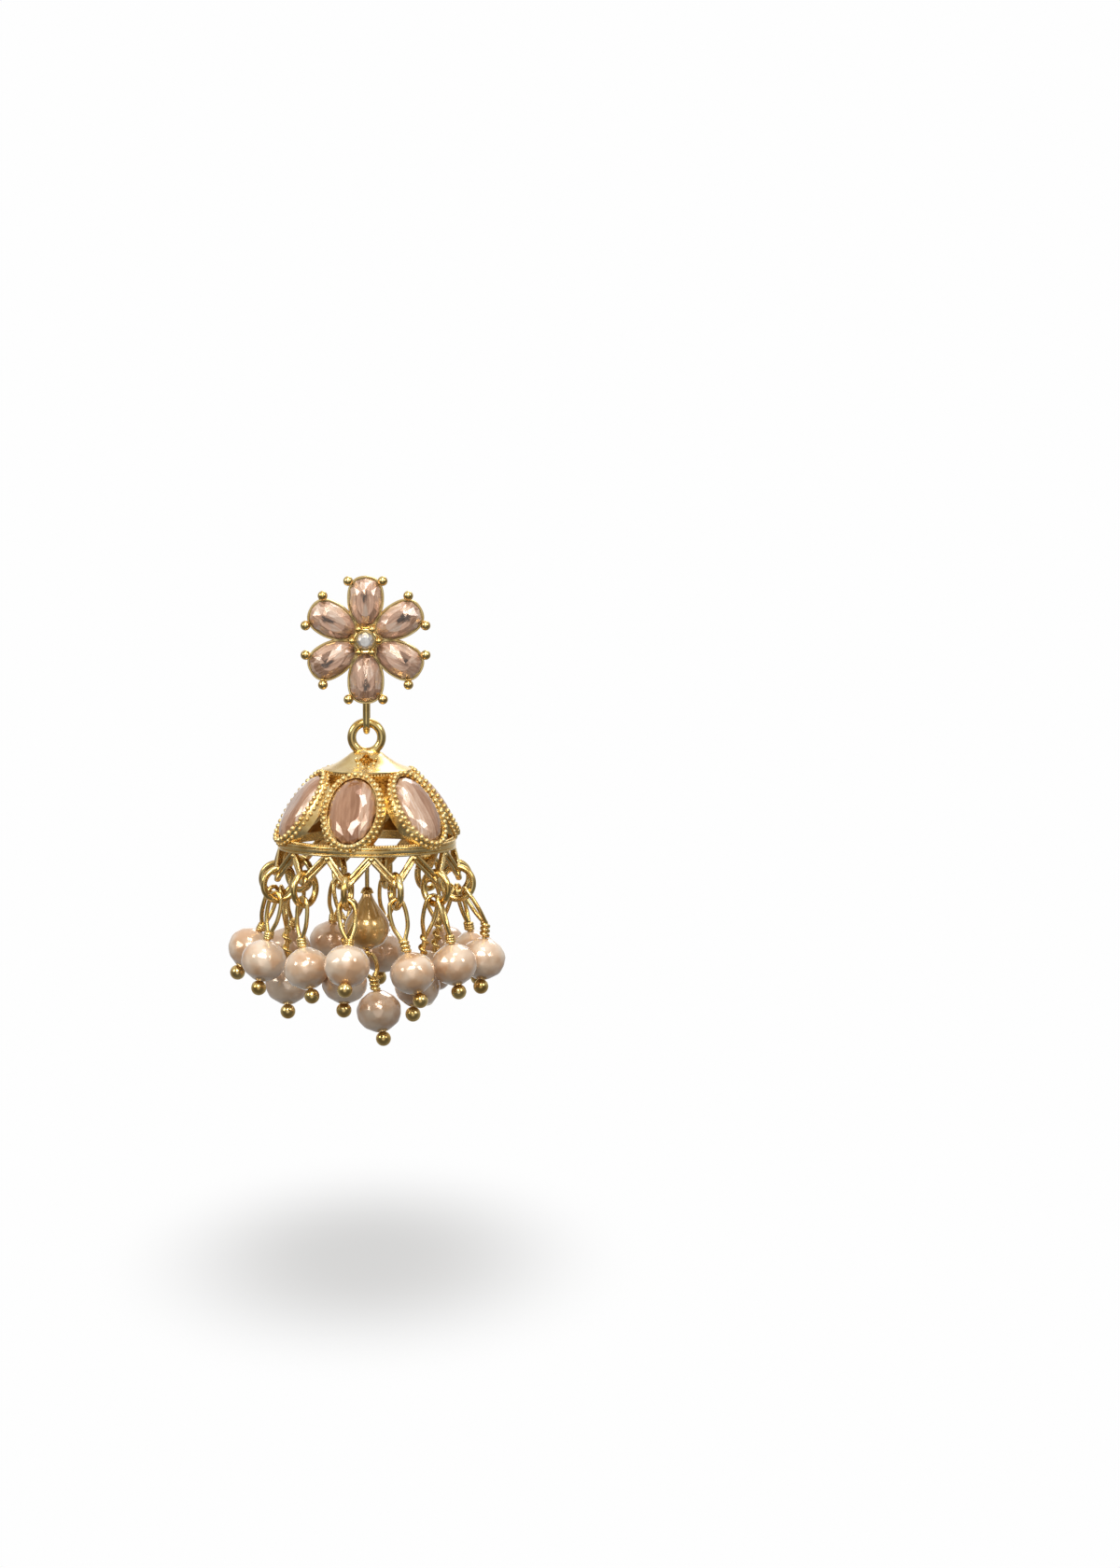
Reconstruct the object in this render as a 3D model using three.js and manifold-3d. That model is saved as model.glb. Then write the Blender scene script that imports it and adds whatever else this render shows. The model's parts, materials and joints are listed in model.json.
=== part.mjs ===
// A jhumka earring, in millimetres with +Z up.
// The origin is the middle of the flower's back face, where the post enters the ear lobe.
// The flower faces -Y, the post points along +Y and the bell hangs below.

import * as THREE from 'three';
import { mergeVertices } from 'three/addons/utils/BufferGeometryUtils.js';
import Module from 'manifold-3d';

const wasm = await Module();
wasm.setup();

// Driving dimensions of the flower stud
const PETALS = 6;
const PETAL = { tip: 1.75, end: 6.6, halfWidth: 1.66, taper: 0.12, points: 12 };
const PETAL_STONE = {
  base: -0.55,
  baseShare: 0.97,
  girdle: -0.95,
  shoulder: -1.6,
  shoulderShare: 0.86,
  table: -1.95,
  tableShare: 0.62,
};
const CUP = { wall: 0.2, clearance: 0.05, front: -0.95, floor: -0.5 };
const BACK_PLATE = { radius: 2.1, front: -0.45 };
const PRONG = {
  ballRadius: 0.53,
  reach: 6.6,
  spread: 16.5,
  depth: -1.25,
  legRadius: 0.28,
  rootReach: 4.88,
  rootShare: 0.74,
  rootDepth: -0.2,
};
const COLLET = { radius: 1.42, height: -2.25, holeRadius: 1.0, holeFloor: -1.6 };
const COLLET_PRONG = { ballRadius: 0.4, reach: 1.5, depth: -2.35 };
const CENTRE_STONE = {
  radius: 0.94, base: -1.65, baseShare: 0.8, girdle: -2.2, table: -2.75, tableShare: 0.6,
};
const POST = {
  radius: 0.45,
  length: 11,
  tipLength: 0.5,
  tipRadius: 0.2,
  socket: 0.35,
  clearance: 0.05,
  collarRadius: 1.1,
  collarHeight: 0.55,
};

// Driving dimensions of the loops that carry the bell
const BACK_LOOP = { radius: 1.25, wire: 0.35, height: -5.0, footRadius: 0.4, footDepth: -0.2 };
const LINK = { radius: 1.03, wire: 0.38 };
const TOP_RING = { radius: 1.6, wire: 0.48, height: -10.67 };
const HANG_CLEARANCE = 0.05;

// The bell's axis stands this far behind the flower's back face
const AXIS_Y = 1.6;

// Driving dimensions of the bell; heights are measured from the flower's centre
const OVALS = 6;
const POINTS = 12;
const FRONT_TURN = -10.5;
const BELL_SIDES = 34;
const WALL = { topRadius: 4.85, topHeight: -14.25, footRadius: 9.15, footHeight: -21.6, thickness: 0.55 };
const CAP = {
  peakRadius: 1.05,
  peakHeight: -12.2,
  neckRadius: 1.5,
  neckHeight: -12.6,
  waistRadius: 2.6,
  waistHeight: -13.2,
  brimRadius: 4.45,
  brimHeight: -13.95,
  innerHeight: -13.9,
  innerBrimHeight: -14.1,
  innerEdgeHeight: -14.75,
};
const BAND = { radius: 9.6, inner: 8.75, bottom: -22.6 };
const SKIRT = { topRadius: 9.25, footRadius: 10.2, thickness: 0.5, foot: -25.8, lugHalfWidth: 0.42 };
const ARCH = { apex: -23.5, shoulder: -25.5 };
const EYE = { top: -22.85, bottom: -25.02, topHalfWidth: 1.75, bottomHalfWidth: 0.47 };
const WINDOW = { apex: -18.4, apexHalfWidth: 0.25, foot: -21.55, footHalfWidth: 2.7 };
const OVAL = { halfWidth: 2.55, halfLength: 3.95, centreRadius: 7.5, centreHeight: -17.85, lean: 35.1 };
const BEZEL = { wall: 0.5, flare: 0.4, depth: 1.25, pocket: 0.6, clearance: 0.09, sides: 16 };
const OVAL_STONE = {
  baseShare: 0.97, girdle: -0.12, shoulder: 0.45, shoulderShare: 0.86, proud: 0.85, tableShare: 0.6,
};

// Driving dimensions of the rings and bead drops
const JUMP_RING = {
  radius: 1.72, wire: 0.36, centreRadius: 9.88, centreHeight: -26.2, sides: 5, steps: 10,
};
const BEAD = { radius: 2.45, halfHeight: 2.28, sides: 10, rows: 4 };
const HEAD_BALL = { radius: 0.8, drop: 3.0 };
const DROP_WIRE = {
  radius: 0.205, eyeHalfWidth: 0.86, eyeHeight: 3.6, eyePlay: 0.24, neckHalfWidth: 0.14, pinRadius: 0.28,
};
const CENTRE = { wire: 0.24, loopRadius: 0.8, loopDrop: 0.56 };
const TEARDROP = { top: -27.2, wide: -31.1, foot: -33.6, radius: 2.4, neckRadius: 0.4, footRadius: 0.5 };
const FOOT_EYE = { radius: 0.6, wire: 0.2, sink: 0.1 };

// Short drops, one for each jump ring from the front one towards +X, angles in degrees.
// hook: place on the ring, out: swing outwards, side: swing towards the next ring, turn: twist of the
// eye, nod and lean: the bead's own tilt outwards and sideways below its neck, length: ring to bead.
const SHORT_DROPS = [
  { hook: 14, out: 13, side: 7, turn: 7, nod: 27, lean: -3, length: 6.7 },
  { hook: 14, out: 8, side: 9, turn: -12, nod: 6, lean: 3, length: 7.2 },
  { hook: 20, out: 18, side: 5, turn: 32, nod: -12, lean: 2, length: 6.7 },
  { hook: 40, out: 34, side: -2, turn: 32, nod: -38, lean: 0, length: 7.4 },
  { hook: 18, out: 17, side: -2, turn: -34, nod: -6, lean: 4, length: 6.7 },
  { hook: 16, out: 11, side: -3, turn: 10, nod: 4, lean: -4, length: 6.7 },
  { hook: 14, out: 6, side: 2, turn: -7, nod: 8, lean: 8, length: 7.8 },
  { hook: 18, out: 17, side: 2, turn: 12, nod: -4, lean: 0, length: 6.6 },
  { hook: 14, out: 10, side: -2, turn: -30, nod: 4, lean: 3, length: 6.7 },
  { hook: 20, out: 17, side: -2, turn: -32, nod: 12, lean: 0, length: 6.6 },
  { hook: 14, out: 11, side: -2, turn: 32, nod: 0, lean: 0, length: 6.6 },
  { hook: 12, out: 5, side: 1, turn: -10, nod: -2, lean: 16, length: 6.8 },
];

// Long drops share some of the rings with a short one and hang inside the circle of short ones
const LONG_DROPS = [
  { ring: 0, hook: -21, out: -19, side: -9, turn: 8, nod: 14, lean: 6, length: 8.7 },
  { ring: 2, hook: -20, out: -13, side: -2, turn: -8, nod: 8, lean: -6, length: 9.2 },
  { ring: 4, hook: -20, out: -16, side: 9, turn: 8, nod: 8, lean: -4, length: 8.9 },
  { ring: 7, hook: -20, out: -17, side: -4, turn: -8, nod: 10, lean: 4, length: 8.6 },
  { ring: 9, hook: -18, out: -9, side: 6, turn: 5, nod: 8, lean: -4, length: 9.7 },
];
const LOWEST_DROP = { out: 0, side: 18, turn: 25, nod: 0, lean: -9, length: 5.8, eyeHeight: 2.2 };

// Finishes
const gold = { color: 0xcda85f, roughness: 0.3, metalness: 1 };
const champagne = { color: 0xc89b86, roughness: 0.15, metalness: 0.1 };
const smoke = { color: 0xb7b0aa, roughness: 0.15, metalness: 0.1 };
const pearl = { color: 0xd9b49f, roughness: 0.25, metalness: 0.15 };

const radians = THREE.MathUtils.degToRad;

// Signed volume of a merged, indexed geometry; negative when its faces point inwards
function signedVolume(geometry) {
  const place = geometry.attributes.position;
  const index = geometry.index;
  const corner = [new THREE.Vector3(), new THREE.Vector3(), new THREE.Vector3()];
  let volume = 0;
  for (let face = 0; face < index.count; face += 3) {
    corner.forEach((point, k) => point.fromBufferAttribute(place, index.getX(face + k)));
    volume += corner[0].dot(corner[1].clone().cross(corner[2])) / 6;
  }
  return volume;
}

// A closed geometry with shared vertices becomes a solid that can be joined and cut
function solid(geometry) {
  const bare = geometry.clone();
  bare.deleteAttribute('normal');
  bare.deleteAttribute('uv');
  const merged = mergeVertices(bare, 1e-4);
  const corners = Array.from(merged.index.array);
  const triangles = [];
  const inwards = signedVolume(merged) < 0;
  for (let face = 0; face < corners.length; face += 3) {
    const [a, b, c] = corners.slice(face, face + 3);
    if (a !== b && b !== c && a !== c) triangles.push(a, inwards ? c : b, inwards ? b : c);
  }
  return new wasm.Manifold(new wasm.Mesh({
    numProp: 3,
    vertProperties: new Float32Array(merged.attributes.position.array),
    triVerts: new Uint32Array(triangles),
  }));
}

function join(solids) {
  return solids.reduce((sum, next) => sum.add(next));
}

function toGeometry(body) {
  const mesh = body.getMesh();
  const geometry = new THREE.BufferGeometry();
  geometry.setAttribute('position', new THREE.BufferAttribute(mesh.vertProperties, 3));
  geometry.setIndex(new THREE.BufferAttribute(mesh.triVerts, 1));
  const flat = geometry.toNonIndexed();
  flat.computeVertexNormals();
  return flat;
}

function piece(name, body, finish) {
  const mesh = new THREE.Mesh(toGeometry(body), new THREE.MeshStandardMaterial(finish));
  mesh.name = name;
  return mesh;
}

// Closed body through rings of equal point counts, first and last ring capped by a fan
function loft(rings) {
  const count = rings[0].length;
  const positions = rings.flat().flatMap((point) => [point.x, point.y, point.z]);
  const index = [];
  for (let ring = 0; ring < rings.length - 1; ring += 1) {
    for (let k = 0; k < count; k += 1) {
      const next = (k + 1) % count;
      const low = ring * count;
      const high = low + count;
      index.push(low + k, low + next, high + next, low + k, high + next, high + k);
    }
  }
  const last = (rings.length - 1) * count;
  for (let k = 1; k < count - 1; k += 1) {
    index.push(0, k + 1, k, last, last + k, last + k + 1);
  }
  const geometry = new THREE.BufferGeometry();
  geometry.setAttribute('position', new THREE.Float32BufferAttribute(positions, 3));
  geometry.setIndex(index);
  return geometry;
}

// Body turned round a vertical axis from [radius, height] pairs; it closes on itself or on the axis
function turned(profile, sides) {
  const points = profile.map(([radius, height]) => new THREE.Vector2(radius, height));
  return new THREE.LatheGeometry(points, sides).rotateX(Math.PI / 2);
}

// Round wire or rod between two points
function rod(start, end, radius, sides = 8) {
  const along = end.clone().sub(start);
  const geometry = new THREE.CylinderGeometry(radius, radius, along.length(), sides);
  const turn = new THREE.Quaternion().setFromUnitVectors(new THREE.Vector3(0, 1, 0), along.normalize());
  return geometry.applyQuaternion(turn).translate(...start.clone().lerp(end, 0.5).toArray());
}

// Wire that follows a curve, with flat ends
function wire(curve, radius, steps, sides = 6) {
  const section = new THREE.Shape();
  for (let k = 0; k < sides; k += 1) {
    const angle = (2 * Math.PI * k) / sides;
    section[k ? 'lineTo' : 'moveTo'](radius * Math.cos(angle), radius * Math.sin(angle));
  }
  return new THREE.ExtrudeGeometry(section, { steps, extrudePath: curve, curveSegments: sides });
}

function ball(radius, place, sides = 8, rows = 4) {
  return new THREE.SphereGeometry(radius, sides, rows).rotateX(Math.PI / 2).translate(...place.toArray());
}

// Ring in the XZ plane round the origin
function uprightRing(radius, wireRadius, sides = 6, steps = 16) {
  return new THREE.TorusGeometry(radius, wireRadius, sides, steps).rotateX(Math.PI / 2);
}

// Outline of a pear round the petal's middle: an oval along +X that narrows towards the flower's centre
function pearOutline(margin, y, share = 1) {
  const halfLength = (PETAL.end - PETAL.tip) / 2;
  return Array.from({ length: PETAL.points }, (_, k) => {
    const angle = (2 * Math.PI * k) / PETAL.points;
    const along = (halfLength + margin) * share * Math.cos(angle);
    const taper = 1 + PETAL.taper * Math.cos(angle);
    const across = (PETAL.halfWidth + margin) * share * Math.sin(angle) * taper;
    return new THREE.Vector3(PETAL.tip + halfLength + along, y, across);
  });
}

const petalTurn = (k) => -radians(90 + (360 / PETALS) * k);

function petalStone() {
  const stone = PETAL_STONE;
  return solid(loft([
    pearOutline(0, stone.base, stone.baseShare),
    pearOutline(0, stone.girdle),
    pearOutline(0, stone.shoulder, stone.shoulderShare),
    pearOutline(0, stone.table, stone.tableShare),
  ]));
}

function roundSection(radius, y, sides = 12) {
  return Array.from({ length: sides }, (_, k) => {
    const angle = (2 * Math.PI * k) / sides;
    return new THREE.Vector3(radius * Math.cos(angle), y, radius * Math.sin(angle));
  });
}

function centreStone() {
  const stone = CENTRE_STONE;
  return solid(loft([
    roundSection(stone.radius * stone.baseShare, stone.base),
    roundSection(stone.radius, stone.girdle),
    roundSection(stone.radius * stone.tableShare, stone.table),
  ]));
}

// Straight body with the section that sectionAt gives at each depth, from one depth to another
function prism(sectionAt, from, to) {
  return solid(loft([sectionAt(from), sectionAt(to)]));
}

function petalCup() {
  const outer = (y) => pearOutline(CUP.clearance + CUP.wall, y);
  const inner = (y) => pearOutline(CUP.clearance, y);
  return prism(outer, 0, CUP.front).subtract(prism(inner, CUP.floor, CUP.front - 1));
}

function petalProngs() {
  return [-1, 1].map((side) => {
    const angle = radians(PRONG.spread) * side;
    const cupMiddle = new THREE.Vector3(PRONG.rootReach, 0, 0);
    const tip = new THREE.Vector3(PRONG.reach * Math.cos(angle), 0, PRONG.reach * Math.sin(angle));
    const root = cupMiddle.lerp(tip, PRONG.rootShare).setY(PRONG.rootDepth);
    tip.setY(PRONG.depth);
    return solid(rod(root, tip, PRONG.legRadius, 4)).add(solid(ball(PRONG.ballRadius, tip, 6, 4)));
  });
}

function flowerSetting() {
  const round = (radius) => (y) => roundSection(radius, y);
  const parts = [
    prism(round(BACK_PLATE.radius), 0, BACK_PLATE.front),
    prism(round(COLLET.radius), 0, COLLET.height),
    prism(round(POST.collarRadius), 0, POST.collarHeight),
  ];
  for (let k = 0; k < PETALS; k += 1) {
    const turn = new THREE.Matrix4().makeRotationY(petalTurn(k)).elements;
    parts.push(...[petalCup(), ...petalProngs()].map((body) => body.transform(turn)));
    const angle = radians((360 / PETALS) * k);
    const place = new THREE.Vector3(Math.cos(angle), 0, Math.sin(angle));
    place.multiplyScalar(COLLET_PRONG.reach).setY(COLLET_PRONG.depth);
    parts.push(solid(ball(COLLET_PRONG.ballRadius, place, 6, 4)));
  }
  const loopTop = new THREE.Vector3(0, AXIS_Y, BACK_LOOP.height + BACK_LOOP.radius);
  const footStart = new THREE.Vector3(0, BACK_LOOP.footDepth, loopTop.z);
  const loop = uprightRing(BACK_LOOP.radius, BACK_LOOP.wire, 6, 12);
  loop.translate(0, AXIS_Y, BACK_LOOP.height);
  parts.push(solid(rod(footStart, loopTop, BACK_LOOP.footRadius)), solid(loop));
  const stoneSeat = prism(round(COLLET.holeRadius), COLLET.holeFloor, COLLET.height - 1);
  const postRadius = POST.radius + POST.clearance;
  const postSocket = prism(round(postRadius), POST.collarHeight - POST.socket, POST.collarHeight + 1);
  return join(parts).subtract(stoneSeat).subtract(postSocket);
}

function earPost() {
  const start = POST.collarHeight - POST.socket + POST.clearance;
  const tip = POST.length;
  return solid(loft([
    roundSection(POST.radius, start),
    roundSection(POST.radius, tip - POST.tipLength),
    roundSection(POST.tipRadius, tip),
  ]));
}

// Heights at which the link hangs in the back loop and the bell hangs in the link
const LINK_TOP = BACK_LOOP.height - BACK_LOOP.radius + BACK_LOOP.wire + LINK.wire + HANG_CLEARANCE;
const LINK_FOOT = TOP_RING.height + TOP_RING.radius - TOP_RING.wire - LINK.wire - HANG_CLEARANCE;

// Long link in the YZ plane: a ring whose two halves are drawn apart
function dropLink() {
  const geometry = new THREE.TorusGeometry(LINK.radius, LINK.wire, 6, 14);
  geometry.rotateZ(Math.PI / 14).rotateY(Math.PI / 2).rotateX(Math.PI / 2);
  const stretch = (LINK_TOP - LINK_FOOT) / 2 - LINK.radius;
  const place = geometry.attributes.position;
  for (let k = 0; k < place.count; k += 1) {
    place.setZ(k, place.getZ(k) + Math.sign(place.getZ(k)) * stretch);
  }
  return solid(geometry.translate(0, AXIS_Y, (LINK_TOP + LINK_FOOT) / 2));
}

// Prism that stands on an outline of [sideways, height] pairs and runs outwards along -Y
function radialPrism(outline, from, to) {
  const ring = (distance) => outline.map(([x, z]) => new THREE.Vector3(x, -distance, z));
  return solid(loft([ring(from), ring(to)]));
}

function around(body, degrees) {
  return body.rotate([0, 0, degrees]);
}

// Outer and inner outline of cap, wall, band and skirt, from the axis down and back up
function bellProfile() {
  const skirtInner = (radius) => radius - SKIRT.thickness;
  return [
    [0, CAP.peakHeight],
    [CAP.peakRadius, CAP.peakHeight],
    [CAP.neckRadius, CAP.neckHeight],
    [CAP.waistRadius, CAP.waistHeight],
    [CAP.brimRadius, CAP.brimHeight],
    [WALL.topRadius, WALL.topHeight],
    [WALL.footRadius, WALL.footHeight],
    [BAND.radius, WALL.footHeight],
    [BAND.radius, BAND.bottom],
    [SKIRT.topRadius, BAND.bottom],
    [SKIRT.footRadius, SKIRT.foot],
    [skirtInner(SKIRT.footRadius), SKIRT.foot],
    [skirtInner(SKIRT.topRadius), BAND.bottom],
    [BAND.inner, BAND.bottom],
    [WALL.footRadius - WALL.thickness, WALL.footHeight],
    [WALL.topRadius - WALL.thickness, CAP.innerEdgeHeight],
    [CAP.waistRadius, CAP.innerBrimHeight],
    [0, CAP.innerHeight],
  ];
}

function ovalSection(halfWidth, halfLength, depth, sides) {
  return Array.from({ length: sides }, (_, k) => {
    const angle = (2 * Math.PI * k) / sides;
    return new THREE.Vector3(halfWidth * Math.cos(angle), -depth, halfLength * Math.sin(angle));
  });
}

// Matrix that lays a piece modelled round the origin, facing -Y, into oval seat k of the bell
function ovalSeat(k) {
  const place = new THREE.Matrix4().makeTranslation(0, -OVAL.centreRadius, OVAL.centreHeight);
  const lean = new THREE.Matrix4().makeRotationX(-radians(OVAL.lean));
  const turn = new THREE.Matrix4().makeRotationZ(radians(FRONT_TURN + (360 / OVALS) * k));
  return turn.multiply(place).multiply(lean);
}

function ovalCup() {
  const front = BEZEL.wall;
  const back = BEZEL.wall + BEZEL.flare;
  const { halfWidth, halfLength } = OVAL;
  const { depth, pocket, clearance, sides } = BEZEL;
  const cup = loft([
    ovalSection(halfWidth + back, halfLength + back * 0.7, -depth, sides),
    ovalSection(halfWidth + front, halfLength + front * 0.8, 0, sides),
  ]);
  const hollow = loft([
    ovalSection(halfWidth + clearance, halfLength + clearance, -pocket, sides),
    ovalSection(halfWidth + clearance, halfLength + clearance, 1, sides),
  ]);
  return { cup: solid(cup), hollow: solid(hollow) };
}

function ovalStone() {
  const { halfWidth, halfLength } = OVAL;
  const { baseShare, proud, girdle, shoulder, shoulderShare, tableShare } = OVAL_STONE;
  const base = -BEZEL.pocket + BEZEL.clearance;
  const ring = (share, depth) => ovalSection(halfWidth * share, halfLength * share, depth, BEZEL.sides);
  return solid(loft([
    ring(baseShare, base),
    ring(1, girdle),
    ring(shoulderShare, shoulder),
    ring(tableShare, proud),
  ]));
}

function domeCage() {
  let bell = solid(turned(bellProfile(), BELL_SIDES));
  const window = radialPrism([
    [-WINDOW.footHalfWidth, WINDOW.foot],
    [-WINDOW.apexHalfWidth, WINDOW.apex],
    [WINDOW.apexHalfWidth, WINDOW.apex],
    [WINDOW.footHalfWidth, WINDOW.foot],
  ], 3, 13);
  const archHalf = (Math.PI * SKIRT.footRadius) / POINTS - SKIRT.lugHalfWidth;
  const arch = radialPrism([
    [-archHalf, SKIRT.foot - 1],
    [-archHalf, ARCH.shoulder],
    [0, ARCH.apex],
    [archHalf, ARCH.shoulder],
    [archHalf, SKIRT.foot - 1],
  ], 6, 13);
  const eye = radialPrism([
    [-EYE.bottomHalfWidth, EYE.bottom],
    [-EYE.topHalfWidth, EYE.top],
    [EYE.topHalfWidth, EYE.top],
    [EYE.bottomHalfWidth, EYE.bottom],
  ], 6, 13);
  const step = 360 / POINTS;
  for (let k = 0; k < OVALS; k += 1) {
    bell = bell.subtract(around(window, FRONT_TURN + 30 + (360 / OVALS) * k));
  }
  for (let k = 0; k < POINTS; k += 1) {
    bell = bell.subtract(around(arch, FRONT_TURN + step * (k + 0.5)));
    bell = bell.subtract(around(eye, FRONT_TURN + step * k));
  }
  const { cup, hollow } = ovalCup();
  for (let k = 0; k < OVALS; k += 1) {
    const seat = ovalSeat(k).elements;
    bell = bell.add(cup.transform(seat)).subtract(hollow.transform(seat));
  }
  const topRing = solid(uprightRing(TOP_RING.radius, TOP_RING.wire).translate(0, 0, TOP_RING.height));
  const hook = CAP.innerHeight - CENTRE.loopDrop;
  const innerLoop = solid(uprightRing(CENTRE.loopRadius, CENTRE.wire, 5, 10).translate(0, 0, hook));
  return bell.add(topRing).add(innerLoop);
}

function jumpRing() {
  const { radius, wire: wireRadius, sides, steps } = JUMP_RING;
  return solid(uprightRing(radius, wireRadius, sides, steps).rotateZ(Math.PI / 2));
}

// Faceted round bead with its head-pin ball, hanging from the origin at the given distance
function beadOnPin(distance) {
  const { rows } = BEAD;
  const profile = Array.from({ length: rows + 1 }, (_, k) => {
    const angle = Math.PI * (0.1 + (0.8 * k) / rows);
    return [BEAD.radius * Math.sin(angle), BEAD.halfHeight * Math.cos(angle)];
  });
  const bead = turned([[0, profile[0][1]], ...profile, [0, profile[rows][1]]], BEAD.sides);
  const pinBall = ball(HEAD_BALL.radius, new THREE.Vector3(0, 0, -HEAD_BALL.drop), 6, 4);
  return solid(bead).add(solid(pinBall)).translate([0, 0, -distance]);
}

// Bead drop: a wire eye, a pin, a faceted bead and the pin's ball head.
// Its eye goes round a wire of the given radius that passes through the origin.
function beadDrop({ turn, nod, lean, length, eyeHeight = DROP_WIRE.eyeHeight }, heldWire) {
  const top = heldWire + DROP_WIRE.radius + DROP_WIRE.eyePlay;
  const half = DROP_WIRE.eyeHalfWidth;
  const foot = -eyeHeight;
  const side = [
    [DROP_WIRE.neckHalfWidth, foot - 0.2],
    [half * 0.7, foot * 0.72],
    [half, foot * 0.38],
    [half * 0.95, top - half * 0.5],
  ];
  const points = [...side, [0, top], ...side.map(([x, z]) => [-x, z]).reverse()];
  const curve = new THREE.CatmullRomCurve3(points.map(([x, z]) => new THREE.Vector3(x, 0, z)));
  const eye = solid(wire(curve, DROP_WIRE.radius, 10, 5)).rotate([0, 0, turn]);
  const below = length + foot;
  const pinTop = new THREE.Vector3(0, 0, 0.25);
  const pinFoot = new THREE.Vector3(0, 0, -below - HEAD_BALL.drop);
  const pin = solid(rod(pinTop, pinFoot, DROP_WIRE.pinRadius, 6));
  const hanging = beadOnPin(below).add(pin).rotate([-nod, -lean, 0]).translate([0, 0, foot]);
  return eye.add(hanging);
}

// Turn of ring k about the bell's axis, and the place on its wire where a drop hangs
const ringTurn = (k) => radians(FRONT_TURN + (360 / POINTS) * k);

function hookPlace(hook) {
  const angle = radians(hook);
  return new THREE.Vector3(
    0,
    -(JUMP_RING.centreRadius + JUMP_RING.radius * Math.sin(angle)),
    JUMP_RING.centreHeight - JUMP_RING.radius * Math.cos(angle),
  );
}

function hangDrop(name, ring, row) {
  const holder = new THREE.Group();
  holder.rotation.z = ringTurn(ring);
  const drop = piece(name, beadDrop(row, JUMP_RING.wire), pearl);
  drop.position.copy(hookPlace(row.hook));
  drop.rotation.set(-radians(row.out), -radians(row.side), 0);
  holder.add(drop);
  return holder;
}

function centreDrop() {
  const hook = CAP.innerHeight - CENTRE.loopDrop;
  const eyeTop = hook - CENTRE.loopRadius + 2 * CENTRE.wire + HANG_CLEARANCE;
  const eyeMiddle = eyeTop - CENTRE.loopRadius;
  const eye = uprightRing(CENTRE.loopRadius, CENTRE.wire, 5, 10);
  eye.rotateZ(Math.PI / 2).translate(0, 0, eyeMiddle);
  const stem = rod(
    new THREE.Vector3(0, 0, eyeMiddle - CENTRE.loopRadius),
    new THREE.Vector3(0, 0, TEARDROP.top - FOOT_EYE.radius),
    CENTRE.wire,
    6,
  );
  const { top, wide, foot, radius, neckRadius, footRadius } = TEARDROP;
  const drop = turned([
    [0, top],
    [neckRadius, top],
    [radius * 0.42, top - 1.4],
    [radius * 0.8, wide + 1.2],
    [radius, wide],
    [radius * 0.88, wide - 1.2],
    [radius * 0.5, foot + 0.35],
    [footRadius, foot],
    [0, foot],
  ], 10);
  const footEyeMiddle = foot - FOOT_EYE.radius + FOOT_EYE.sink;
  const footEye = uprightRing(FOOT_EYE.radius, FOOT_EYE.wire, 5, 10);
  footEye.rotateZ(Math.PI / 2).translate(0, 0, footEyeMiddle);
  return join([eye, stem, drop, footEye].map(solid));
}

// Middle of the wire that the lowest drop hangs on
function lowestHookPlace() {
  return new THREE.Vector3(0, 0, TEARDROP.foot - 2 * FOOT_EYE.radius + FOOT_EYE.sink);
}

// The stud
const stud = new THREE.Group();
stud.add(piece('flower_setting', flowerSetting(), gold), piece('ear_post', earPost(), gold));
stud.add(piece('centre_stone', centreStone(), smoke));
for (let k = 0; k < PETALS; k += 1) {
  const stone = piece(`petal_stone_${k + 1}`, petalStone(), champagne);
  stone.rotation.y = petalTurn(k);
  stud.add(stone);
}

// The bell with all that hangs from it, round its own axis
const bell = new THREE.Group();
bell.position.y = AXIS_Y;
bell.add(piece('dome_cage', domeCage(), gold), piece('centre_drop', centreDrop(), pearl));
for (let k = 0; k < OVALS; k += 1) {
  const stone = piece(`oval_stone_${k + 1}`, ovalStone(), champagne);
  stone.applyMatrix4(ovalSeat(k));
  bell.add(stone);
}
for (let k = 0; k < POINTS; k += 1) {
  const number = String(k + 1).padStart(2, '0');
  const ringHolder = new THREE.Group();
  ringHolder.rotation.z = ringTurn(k);
  const ring = piece(`jump_ring_${number}`, jumpRing(), gold);
  ring.position.set(0, -JUMP_RING.centreRadius, JUMP_RING.centreHeight);
  ringHolder.add(ring);
  bell.add(ringHolder, hangDrop(`short_drop_${number}`, k, SHORT_DROPS[k]));
}
LONG_DROPS.forEach((row, k) => bell.add(hangDrop(`long_drop_${k + 1}`, row.ring, row)));
const lowest = piece('lowest_drop', beadDrop(LOWEST_DROP, FOOT_EYE.wire), pearl);
lowest.position.copy(lowestHookPlace());
lowest.rotation.set(-radians(LOWEST_DROP.out), -radians(LOWEST_DROP.side), 0);
bell.add(lowest);

const group = new THREE.Group();
group.add(stud, bell, piece('drop_link', dropLink(), gold));

export default group;
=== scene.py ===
"""A jhumka earring: the looks built round the fixed frame, in metres with +Z up.

Sizes are in millimetres in the classes below and become metres where a mesh is made.
The flower faces -Y, the ear post points along +Y and the bell hangs below the flower.
"""

import json
import logging
import math
import random
from dataclasses import dataclass
from enum import Enum
from typing import Callable, Sequence

import bmesh
import bpy
from mathutils import Matrix, Vector

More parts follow.
